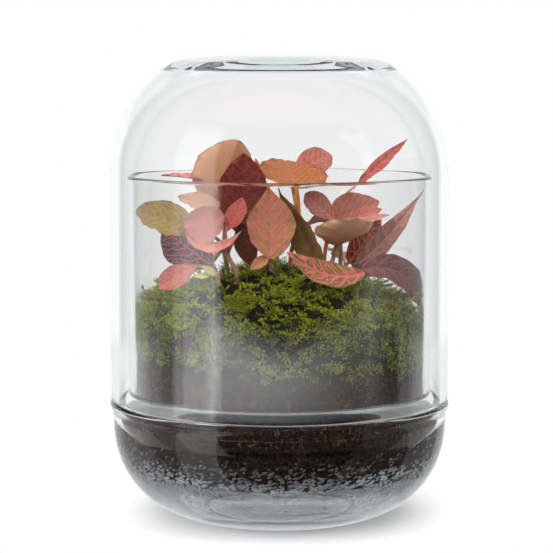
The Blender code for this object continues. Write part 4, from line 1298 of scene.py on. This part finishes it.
def make_moss(moss):
    """Lumpy cushion under a dense cover of feathery shoots."""
    inside = NECK_INSIDE - 1.3
    radii = [inside - 1.2] + [MOSS_RIM_RADIUS * (1.0 - i / 34) for i in range(34)] + [0.0]
    profile = [(0.0, MOSS_FOOT), (inside * 0.6, MOSS_FOOT), (inside - 1.0, MOSS_FOOT)]
    profile += [(inside, SOIL_TOP + 0.5 + 2.0 * i) for i in range(9)]
    profile += [(radius, MOSS_RIM_HEIGHT) for radius in radii]
    points, faces, _ = turned(profile, MOSS_SIDES)
    shaped = []
    for x, y, z in points:
        if z > MOSS_RIM_HEIGHT - 0.01:
            shaped.append((x, y, moss_surface(x, y) - CUSHION_DEPTH))
        elif z > SOIL_TOP:
            pull = 1.0 - abs(noise.noise(Vector((x, y, z)) / 3.0)) * 2.4 / inside
            shaped.append((x * pull, y * pull, z))
        else:
            shaped.append((x, y, z - SOIL_TILT * x / NECK_RADIUS))
    finish = moss_finish("moss", moss)
    # Painted shade: the cushion's low reach gives it the near-black painted shade colour of the
    # deep moss.
    cushion = mesh_piece("moss_cushion_base", shaped, faces, [finish],
                         tone=np.full(len(shaped), 0.3), reach=np.full(len(shaped), 0.1))
    face_outwards(cushion)
    place(cushion, "moss", "moss_cushion")

    rng = random.Random(17)
    full = moss.shoot_length / MM
    feet = [stem["foot"] for stem in STEMS.values()]
    mounds = {"moss_front_shoots": [], "moss_back_shoots": []}
    middle = None
    while sum(len(spots) for spots in mounds.values()) < moss.mound_shoots:
        if middle is None or rng.random() < 0.25:
            radius = MOSS_REACH * math.sqrt(rng.random())
            angle = rng.uniform(0.0, math.tau)
            middle = (radius * math.cos(angle), radius * math.sin(angle))
        x, y = middle[0] + rng.gauss(0.0, 1.5), middle[1] + rng.gauss(0.0, 1.5)
        crowded = min(math.hypot(x - fx, y - fy) for fx, fy in feet) < STEM_ROOM
        if crowded or math.hypot(x, y) > MOSS_LIMIT:
            middle = None
            continue
        rise = (moss_surface(x + 1.0, y) - moss_surface(x - 1.0, y)) / 2
        fall = (moss_surface(x, y + 1.0) - moss_surface(x, y - 1.0)) / 2
        upper = Vector((-rise * 0.4, -fall * 0.4, 1.0)).normalized()
        turn_to = rng.uniform(0.0, math.tau)
        flat = Vector((math.cos(turn_to), math.sin(turn_to), 0.0))
        flat += Vector((x, y, 0.0)) / MOSS_EDGE_LEAN * 0.7
        heading = flat * rng.uniform(0.4, 1.0) + upper * rng.uniform(0.2, 1.2)
        length = full * rng.uniform(0.55, 1.0)
        spot = Vector((x, y, moss_surface(x, y) - SHOOT_BED - 0.15 * length))
        half = "moss_front_shoots" if y < 0.0 else "moss_back_shoots"
        mounds[half].append((spot, heading, upper, length))
    for name, spots in mounds.items():
        place(lay_shoots(name, spots, finish, rng), "moss")

    walls = {"moss_side_front_shoots": [], "moss_side_back_shoots": []}
    while sum(len(spots) for spots in walls.values()) < moss.side_shoots:
        angle = rng.uniform(0.0, math.tau)
        low = moss_fringe(angle)
        height = low + 2.0 + (MOSS_RIM_HEIGHT + 2.0 - low) * rng.random() ** 1.15
        radius = NECK_INSIDE - 1.7 - 1.5 * rng.random()
        out = Vector((math.cos(angle), math.sin(angle), 0.0))
        around = Vector((-out.y, out.x, 0.0)) * rng.uniform(-1.0, 1.0)
        heading = around + Vector((0.0, 0.0, rng.uniform(-1.0, 0.8))) + out * 0.22
        length = full * rng.uniform(0.5, 0.95)
        if heading.z < 0.0:
            length = min(length, max(3.5, (height - low) / max(-heading.normalized().z, 0.2)))
        half = "moss_side_front_shoots" if out.y < 0.0 else "moss_side_back_shoots"
        walls[half].append((out * radius + Vector((0.0, 0.0, height)), heading, out, length))
    for name, spots in walls.items():
        place(lay_shoots(name, spots, finish, rng), "moss")

    spots = []
    for _ in range(moss.fronds):
        angle = rng.choice((0.0, math.pi)) + rng.gauss(0.0, 0.5) - 0.12
        radius = rng.uniform(52.0, 68.0)
        out = Vector((math.cos(angle), math.sin(angle), 0.0))
        spot = out * radius
        spot.z = moss_surface(spot.x, spot.y) - 1.5
        around = Vector((-out.y, out.x, 0.0)) * rng.uniform(-0.5, 0.5)
        heading = out + around + Vector((0.0, 0.0, rng.uniform(0.15, 0.75)))
        spots.append((spot, heading, Vector((0.0, 0.0, 1.0)), full * rng.uniform(1.1, 1.6)))
    place(lay_shoots("moss_fronds", spots, finish, rng), "moss")


# Each spore stalk gives the points it passes, from its foot to its capsule: how far to the right,
# how far from the middle towards the glass and how high.
SPORE_STALKS = (
    ((49, 75.8, 96), (43, 75.9, 107), (36, 75.2, 117), (32, 73.8, 122)),
    ((53, 62, 110), (56, 64, 116), (60, 66, 121)),
    ((54, 60, 111), (57, 63, 117), (62, 64, 127)),
    ((-49, 75.9, 93), (-48.5, 76, 101), (-47.5, 75.5, 112)),
    ((-19, 58, 118), (-17, 60, 126), (-16, 60, 133), (-18, 60, 137)),
    ((-64, 74, 104), (-66, 75, 112), (-68, 75.5, 124)),
)


def make_spore_stalks(moss):
    """Thin orange-red stalks among the moss, each with a dark capsule."""
    shape = Shape()
    for route in SPORE_STALKS:
        knots = [Vector((x, -math.sqrt(max(reach ** 2 - x ** 2, 0.0)), z)) for x, reach, z in route]
        path = []
        for i in range(len(knots) - 1):
            before, after = knots[max(i - 1, 0)], knots[min(i + 2, len(knots) - 1)]
            start, end = knots[i], knots[i + 1]
            for k in range(6):
                t = k / 6
                a = start + (end - before) * t / 6
                b = end - (after - start) * (1 - t) / 6
                path.append(a.lerp(b, t * t * (3 - 2 * t)))
        path.append(knots[-1])
        count = len(path)
        tube_into(shape, path, [0.17 - 0.05 * i / count for i in range(count)], 6, 0)
        tip, heading = path[-1], (path[-1] - path[-2]).normalized()
        capsule = [tip + heading * s * 2.2 for s in (-0.1, 0.1, 0.35, 0.6, 0.8, 1.0)]
        tube_into(shape, capsule, [0.14, 0.36, 0.5, 0.44, 0.26, 0.08], 8, 1)
    finishes = [fibre_finish("spore_stalk", tuple(moss.stalk), 0.35),
                fibre_finish("spore_capsule", CAPSULE_COLOUR)]
    stalks = shape.piece("moss_spore_stalks", finishes)
    return place(stalks, "moss")


# Plant


def midrib(leaf, u):
    """Point and direction on the leaf's bowed midrib."""
    base, tip = Vector(leaf["base"]), Vector(leaf["tip"])
    control = (base + tip) / 2 + 2 * Vector(leaf["bow"])
    point = base * (1 - u) ** 2 + control * 2 * u * (1 - u) + tip * u ** 2
    direction = (control - base) * (1 - u) + (tip - control) * u
    return point, direction.normalized()


def half_width(leaf, u):
    """Half the blade's width: round at the base, running out to the tip."""
    stretch = math.log(0.5) / math.log(leaf["widest"])
    power = leaf["blunt"] + (leaf["point"] - leaf["blunt"]) * u
    return leaf["width"] / 2 * math.sin(math.pi * u ** stretch) ** power


def blade_point(leaf, u, v):
    """Point on the middle surface of a blade, and the surface's normal there."""
    point, along = midrib(leaf, u)
    faces = Vector(leaf["faces"])
    up = (faces - along * faces.dot(along)).normalized()
    up.rotate(Matrix.Rotation(math.radians(leaf["twist"]) * (u - 0.5), 3, along))
    side = along.cross(up)
    cup = math.radians(leaf["cup"])
    bend = cup * abs(v) + math.radians(leaf["fold"])
    reach = half_width(leaf, u)
    across = reach * math.sin(cup * abs(v)) / cup
    lift = reach * (1.0 - math.cos(cup * abs(v))) / cup
    fold = math.radians(leaf["fold"])
    flat = across * math.cos(fold) - lift * math.sin(fold)
    rise = across * math.sin(fold) + lift * math.cos(fold)
    sign = 1.0 if v >= 0 else -1.0
    normal = up * math.cos(bend) - side * (sign * math.sin(bend))
    return point + side * (sign * flat) + up * rise, normal


def blade_into(shape, leaf, slots, plant, seed):
    """Add a thin puckered blade with a wavy margin; slots are its upper and lower finish."""
    long_steps = max(18, min(BLADE_STEPS, int(leaf["width"] * 1.6) + 20))
    wide_steps = 2 * max(4, min(BLADE_ACROSS // 2, int(leaf["width"] / 2) + 3))
    length = (Vector(leaf["tip"]) - Vector(leaf["base"])).length * 1.03
    spacing = length / VEIN_PAIRS
    thickness, pucker = plant.thickness / MM, plant.pucker / MM
    wave = plant.wave / MM * min(1.0, leaf["width"] / 20.0)
    broad = min(1.0, leaf["width"] / 16.0)
    phase = (seed * 0.37) % 1.0
    top, bottom, blade_map, vein_map = [], [], [], []
    for i in range(long_steps + 1):
        share = 0.5 - 0.5 * math.cos(math.pi * i / long_steps)
        u = BLADE_START + (BLADE_END - BLADE_START) * share
        reach = half_width(leaf, u)
        for j in range(wide_steps + 1):
            v = math.sin(math.pi * (j / wide_steps - 0.5))
            point, normal = blade_point(leaf, u, v)
            across = abs(v) * reach
            order = (u * length - VEIN_SLANT * 2 * across - VEIN_CURVE * across ** 2 / 8) / spacing
            swell = 0.5 - 0.5 * math.cos(math.tau * order)
            relief = pucker * swell * abs(v) * (1.0 - abs(v)) * 4.0
            relief -= RIB_GROOVE * math.exp(-(across / RIB_GROOVE_WIDTH) ** 2) * broad
            ruffle = math.sin(math.tau * (u * 3.1 + phase) + (1.7 if v > 0 else 0.0))
            ruffle += 0.6 * math.sin(math.tau * (u * 7.3 + 2.1 * phase) + (0.9 if v > 0 else 0.0))
            point = point + normal * (relief + wave * ruffle * abs(v) ** 3)
            rim = max(0.12, 1.0 - abs(v) ** 4)
            rib = RIB_DEPTH * math.exp(-(across / RIB_WIDTH) ** 2) * (1.0 - 0.7 * u)
            half = thickness / 2 * rim
            top.append(point + normal * half)
            bottom.append(point - normal * (half + rib * broad))
            blade_map.append((u, (v + 1.0) / 2))
            vein_map.append((order, v * reach / spacing))
    row = wide_steps + 1
    count = len(top)
    faces, face_slots = [], []
    for i in range(long_steps):
        for j in range(wide_steps):
            a, b = i * row + j, i * row + j + 1
            c, d = (i + 1) * row + j + 1, (i + 1) * row + j
            faces += [(a, b, c, d), (count + a, count + d, count + c, count + b)]
            face_slots += [slots[0], slots[1]]
    for i in range(long_steps):
        for j, flip in ((0, True), (wide_steps, False)):
            a, d = i * row + j, (i + 1) * row + j
            face = (a, count + a, count + d, d)
            faces.append(face[::-1] if flip else face)
            face_slots.append(slots[1])
    for i, flip in ((0, False), (long_steps, True)):
        for j in range(wide_steps):
            a, b = i * row + j, i * row + j + 1
            face = (a, count + a, count + b, b)
            faces.append(face[::-1] if flip else face)
            face_slots.append(slots[1])
    shape.add([tuple(p) for p in top + bottom], faces, face_slots, blade_map * 2, vein_map * 2)


def curve_points(start, start_direction, end, end_direction, steps):
    """Smooth path between two points that leaves and arrives along given directions."""
    length = (end - start).length
    leave, arrive = start_direction * length, end_direction * length
    points = []
    for i in range(steps + 1):
        t = i / steps
        points.append(start * (2 * t ** 3 - 3 * t ** 2 + 1) + leave * (t ** 3 - 2 * t ** 2 + t)
                      + end * (3 * t ** 2 - 2 * t ** 3) + arrive * (t ** 3 - t ** 2))
    return points


def hairs_into(shape, path, radius, count, rng):
    """Add fine pale hairs along a stalk."""
    for _ in range(count):
        at = rng.uniform(0.0, len(path) - 1.001)
        i = int(at)
        spot = path[i].lerp(path[i + 1], at - i)
        heading = (path[i + 1] - path[i]).normalized()
        out = heading.orthogonal().normalized()
        out.rotate(Matrix.Rotation(rng.uniform(0.0, math.tau), 3, heading))
        root = spot + out * radius * 0.9
        length = rng.uniform(0.35, 0.8)
        tip = root + (out + heading * rng.uniform(-0.4, 0.5)) * length
        tube_into(shape, [root, root.lerp(tip, 0.5), tip], [0.035, 0.025, 0.008], 3, 1)


def make_stem(name, stem, finishes, plant):
    """One leafy stem: its stem, leaf stalks, blades and hairs."""
    rng = random.Random(len(name) * 7 + int(stem["foot"][0] * 3))
    shape = Shape()
    foot_x, foot_y = stem["foot"]
    fork = Vector(stem["fork"])
    upright = Vector((0.0, 0.0, 1.0))
    ground = moss_surface(foot_x, foot_y) + 2.0
    route = [Vector((foot_x, foot_y, STEM_FOOT + (ground - STEM_FOOT) * k / 6)) for k in range(7)]
    if fork.z > ground + 1.0:
        route += curve_points(route[-1], upright, fork, upright, 10)[1:]
    count = len(route)
    radii = [1.35 - 0.25 * i / count for i in range(count)]
    radii[-1] = 1.25
    tube_into(shape, route, radii, STEM_SIDES, 0)
    hairs_into(shape, route[6:] if count > 8 else route[5:], 1.2, plant.hair_count, rng)
    slots = [stalk_finish(name.replace("fittonia_stem", "stalk"), tuple(stem["colour"])),
             fibre_finish(name.replace("fittonia_stem", "hairs"), HAIR_COLOUR, 0.2)]
    for index, leaf in enumerate(stem["leaves"]):
        heading = midrib(leaf, 0.0)[1]
        along = (Vector(leaf["tip"]) - Vector(leaf["base"])).length
        end = midrib(leaf, min(0.12, 2.4 / along))[0]
        start = route[-1] - upright * 0.8
        path = curve_points(start, upright * 0.7, end, heading * 0.7, 12)
        slim = 0.55 if leaf["width"] < 9 else 1.0
        radii = [(1.22 - 0.5 * t / 12) * slim * leaf["stalk"] for t in range(13)]
        radii[-1] = 0.3
        tube_into(shape, path, radii, STALK_SIDES, 0)
        hairs_into(shape, path, 0.85 * slim, plant.hair_count, rng)
        pair = finishes[leaf["look"]]
        for finish in pair:
            if finish not in slots:
                slots.append(finish)
        blade_into(shape, leaf, [slots.index(finish) for finish in pair], plant,
                   index + len(name) + foot_x)
    return shape.piece(name.replace("fittonia_stem", "leafy_stem"), slots)


# Stage


# Each panel of the studio gives its bearing from the front, its height, both in degrees, and its
# brightness. Reflections see the panels, and the rest of the room is unlit for them.
PANELS = (
    (140, 220, -60, -8, 0.9), (140, 220, -8, 11, 1.0), (140, 220, 11, 30, 0.88),
    (140, 220, 30, 41, 0.62), (140, 220, 41, 64, 1.0),
    (-140, -100, -60, -8, 0.75), (-140, -100, -8, 45, 0.34),
    (100, 140, -60, -8, 0.5), (100, 140, -8, 45, 0.28),
    (-100, -76, -60, 45, 0.36), (61, 100, -8, 45, 0.22), (61, 100, -60, -8, 0.12),
    (-180, 180, 45, 90, 0.3), (-180, 180, -90, -62, 1.0),
)

# Each soft lamp gives its name, where it hangs, its width in metres and its power in watts.
LAMPS = (
    ("lamp_front", (-0.2, -1.0, 0.9), 0.8, 6.5), ("lamp_left", (-1.0, -0.3, 0.7), 0.8, 9.6),
    ("lamp_right", (1.0, -0.3, 0.7), 0.8, 8.3), ("lamp_top", (0.0, 0.0, 1.3), 1.6, 10.8),
)

# What stands in front of the object, in degrees of bearing and of height: a window on the left, the
# dark doorway beside it, and the table, whose far edge is brightest.
WINDOW_BEARING = (-76, -44)
DOORWAY_BEARING = (-44, 61)
TABLE_BEARING = (-50, 74)
SILL_HEIGHT = -8.1
TABLE_NEAR, TABLE_FAR = -10.3, -9.4
WINDOW_TOP = 36
TABLE_CROWN = (-8.75, -7.65)
TABLE_CURVE = -0.0286
ROOM_TINT = (0.985, 1.0, 1.0)


def light_room(stage):
    """White paper behind, light panels round the object for its reflections, and soft lamps."""
    world = bpy.data.worlds.new("studio_room")
    bpy.context.scene.world = world
    world.use_nodes = True
    tree = world.node_tree
    tree.nodes.clear()
    direction = node(tree, "ShaderNodeTexCoord").outputs["Generated"]
    x, y, z = node(tree, "ShaderNodeSeparateXYZ", {0: direction}).outputs[:3]
    bearing = calc(tree, "ARCTAN2", x, calc(tree, "MULTIPLY", y, -1.0))
    behind = calc(tree, "FLOORED_MODULO", bearing, math.tau)
    height = calc(tree, "ARCSINE", z)

    def between(value, low, high, soft):
        low, high, soft = (math.radians(a) for a in (low, high, soft))
        rise = fade(tree, value, low - soft, low + soft)
        return calc(tree, "MULTIPLY", rise, fade(tree, value, high - soft, high + soft, 1.0, 0.0))

    level = calc(tree, "MULTIPLY", between(bearing, *DOORWAY_BEARING, 1.0),
                 between(height, SILL_HEIGHT, 20, 0.6))
    level = calc(tree, "MULTIPLY", level, stage.doorway)
    window = calc(tree, "MULTIPLY", between(bearing, *WINDOW_BEARING, 1.2),
                  between(height, -60, WINDOW_TOP, 8.0))
    level = calc(tree, "MULTIPLY_ADD", window, stage.window, level)
    panes = calc(tree, "MULTIPLY_ADD", between(height, TABLE_NEAR, WINDOW_TOP, 0.3), 0.22,
                 calc(tree, "MULTIPLY", between(height, TABLE_NEAR, -7.9, 0.5), 0.45))
    level = calc(tree, "MULTIPLY_ADD", between(bearing, *WINDOW_BEARING, 1.5), panes, level)
    aside = calc(tree, "ABSOLUTE", calc(tree, "SUBTRACT", bearing, 0.05))
    lifted = calc(tree, "MULTIPLY_ADD", calc(tree, "POWER", aside, 2.0), TABLE_CURVE, height)
    low_crown, high_crown = (math.radians(a) for a in TABLE_CROWN)
    edge = calc(tree, "MULTIPLY", between(height, TABLE_FAR, 0, 0.5),
                fade(tree, lifted, low_crown, high_crown, 1.0, 0.0))
    table = calc(tree, "MULTIPLY_ADD", edge, 1.4, between(height, TABLE_NEAR, TABLE_FAR, 0.35))
    table = calc(tree, "MULTIPLY", table, fade(tree, bearing, -0.35, 1.1, 1.0, 0.24))
    table = calc(tree, "MULTIPLY", table, between(bearing, *TABLE_BEARING, 5.0))
    level = calc(tree, "MULTIPLY_ADD", table, stage.table, level)
    for left, right, low, high, brightness in PANELS:
        turn = behind if right > 180 else bearing
        across = 1.0 if right - left == 360 else between(turn, left, right, 0.8)
        share = calc(tree, "MULTIPLY", between(height, low, high, 0.35), across)
        level = calc(tree, "MULTIPLY_ADD", share, brightness, level)
    room = node(tree, "ShaderNodeBackground", {"Color": (*ROOM_TINT, 1.0), "Strength": level})
    paper = node(tree, "ShaderNodeBackground",
                 {"Color": (1.0, 1.0, 1.0, 1.0), "Strength": stage.paper})
    rays = node(tree, "ShaderNodeLightPath").outputs
    bounces = calc(tree, "ADD", rays["Glossy Depth"], rays["Diffuse Depth"])
    straight = calc(tree, "LESS_THAN", bounces, 0.5)
    both = node(tree, "ShaderNodeMixShader",
                {0: straight, 1: room.outputs[0], 2: paper.outputs[0]}).outputs[0]
    output = node(tree, "ShaderNodeOutputWorld")
    tree.links.new(both, output.inputs["Surface"])
    for name, place_at, width, power in LAMPS:
        lamp = bpy.data.objects.new(name, bpy.data.lights.new(name, "AREA"))
        bpy.context.scene.collection.objects.link(lamp)
        lamp.data.shape = "DISK"
        lamp.data.size = width
        lamp.data.energy = power * stage.lamps
        lamp.location = place_at
        aim = Vector((0.0, 0.0, 0.1)) - Vector(place_at)
        lamp.rotation_euler = aim.to_track_quat("-Z", "Y").to_euler()
        lamp.visible_camera = lamp.visible_glossy = lamp.visible_transmission = False


def make_stage(stage):
    """Pale round floor, the room's light and the camera."""
    rings = (0.0, 0.3, 0.6, 0.85, 0.985, 1.0)
    profile = [(stage.floor_radius / MM * r, FLOOR_LEVEL - (FLOOR_EDGE if r == 1.0 else 0.0))
               for r in rings]
    points, faces, _ = turned(profile, FLOOR_SIDES)
    floor = mesh_piece("floor", points, faces, [floor_finish("white_board", stage)])
    for polygon in floor.data.polygons:
        if polygon.normal.z < -0.5:
            floor.data.flip_normals()
            break
    floor.visible_glossy = False
    light_room(stage)
    scene = bpy.context.scene
    scene.view_settings.view_transform = "Standard"
    scene.cycles.max_bounces = 32
    scene.cycles.transmission_bounces = 24
    scene.cycles.glossy_bounces = 24
    scene.cycles.transparent_max_bounces = 24
    camera = bpy.data.objects.new("camera", bpy.data.cameras.new("camera"))
    scene.collection.objects.link(camera)
    camera.data.lens = stage.lens
    camera.data.clip_start = 0.01
    camera.location = CAMERA_PLACE
    camera.rotation_euler = (CAMERA_TILT, 0.0, 0.0)
    scene.camera = camera


# Operators


class TERRARIUM_OT_vessel(bpy.types.Operator):
    """Add the glass vessel with its round bowl and straight neck"""

    bl_idname = "terrarium.vessel"
    bl_label = "Vessel"

    def execute(self, context):
        make_vessel(context.scene.terrarium_glass)
        return {"FINISHED"}


class TERRARIUM_OT_cover(bpy.types.Operator):
    """Add the tall glass cover"""

    bl_idname = "terrarium.cover"
    bl_label = "Cover"

    def execute(self, context):
        make_cover(context.scene.terrarium_glass)
        return {"FINISHED"}


class TERRARIUM_OT_drops(bpy.types.Operator):
    """Add the drops of condensation inside the bowl"""

    bl_idname = "terrarium.drops"
    bl_label = "Drops"

    def execute(self, context):
        make_drops(context.scene.terrarium_glass)
        return {"FINISHED"}


class TERRARIUM_OT_soil(bpy.types.Operator):
    """Add the potting soil with its crumbs and fibres"""

    bl_idname = "terrarium.soil"
    bl_label = "Soil"

    def execute(self, context):
        make_soil(context.scene.terrarium_soil)
        return {"FINISHED"}


class TERRARIUM_OT_moss(bpy.types.Operator):
    """Add the moss cushion with its feathery shoots"""

    bl_idname = "terrarium.moss"
    bl_label = "Moss"

    def execute(self, context):
        make_moss(context.scene.terrarium_moss)
        return {"FINISHED"}


class TERRARIUM_OT_spore_stalks(bpy.types.Operator):
    """Add the thin spore stalks of the moss"""

    bl_idname = "terrarium.spore_stalks"
    bl_label = "Spore stalks"

    def execute(self, context):
        make_spore_stalks(context.scene.terrarium_moss)
        return {"FINISHED"}


class TERRARIUM_OT_plant(bpy.types.Operator):
    """Add the nerve plant's leafy stems"""

    bl_idname = "terrarium.plant"
    bl_label = "Nerve plant"

    def execute(self, context):
        plant = context.scene.terrarium_plant
        finishes = {look: (leaf_finish("leaf_" + look, look, plant),
                           leaf_finish("leaf_under_" + look, look, plant, True))
                    for look in LOOKS}
        for name, stem in STEMS.items():
            piece = make_stem(name, stem, finishes, plant)
            place(piece, STEM_SLOTS[name], name)
        return {"FINISHED"}


class TERRARIUM_OT_stage(bpy.types.Operator):
    """Add the floor, the room light and the camera"""

    bl_idname = "terrarium.stage"
    bl_label = "Stage"

    def execute(self, context):
        make_stage(context.scene.terrarium_stage)
        return {"FINISHED"}


class TERRARIUM_PT_panel(bpy.types.Panel):
    """Sidebar panel with the terrarium's settings and pieces"""

    bl_idname = "TERRARIUM_PT_panel"
    bl_label = "Terrarium"
    bl_space_type = "VIEW_3D"
    bl_region_type = "UI"
    bl_category = "Terrarium"

    def draw(self, context):
        for label, settings in SETTINGS.items():
            box = self.layout.box()
            box.label(text=label.replace("terrarium_", "").capitalize())
            group = getattr(context.scene, label)
            for name in settings.__annotations__:
                box.prop(group, name)
        for operator in OPERATORS:
            self.layout.operator(operator.bl_idname)


SETTINGS = {
    "terrarium_glass": TerrariumGlass,
    "terrarium_soil": TerrariumSoil,
    "terrarium_moss": TerrariumMoss,
    "terrarium_plant": TerrariumPlant,
    "terrarium_stage": TerrariumStage,
}
OPERATORS = (
    TERRARIUM_OT_stage,
    TERRARIUM_OT_vessel,
    TERRARIUM_OT_cover,
    TERRARIUM_OT_soil,
    TERRARIUM_OT_drops,
    TERRARIUM_OT_moss,
    TERRARIUM_OT_spore_stalks,
    TERRARIUM_OT_plant,
)


def register():
    for cls in (*SETTINGS.values(), *OPERATORS, TERRARIUM_PT_panel):
        bpy.utils.register_class(cls)
    for name, settings in SETTINGS.items():
        setattr(bpy.types.Scene, name, bpy.props.PointerProperty(type=settings))


def unregister():
    for name in SETTINGS:
        delattr(bpy.types.Scene, name)
    for cls in reversed((*SETTINGS.values(), *OPERATORS, TERRARIUM_PT_panel)):
        bpy.utils.unregister_class(cls)


def corners(box):
    """A box's two corners as plain lists."""
    return [list(corner) for corner in box]


def main():
    register()
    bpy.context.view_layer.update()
    for operator in OPERATORS:
        group, name = operator.bl_idname.split(".")
        getattr(getattr(bpy.ops, group), name)()


if __name__ == "__main__":
    main()
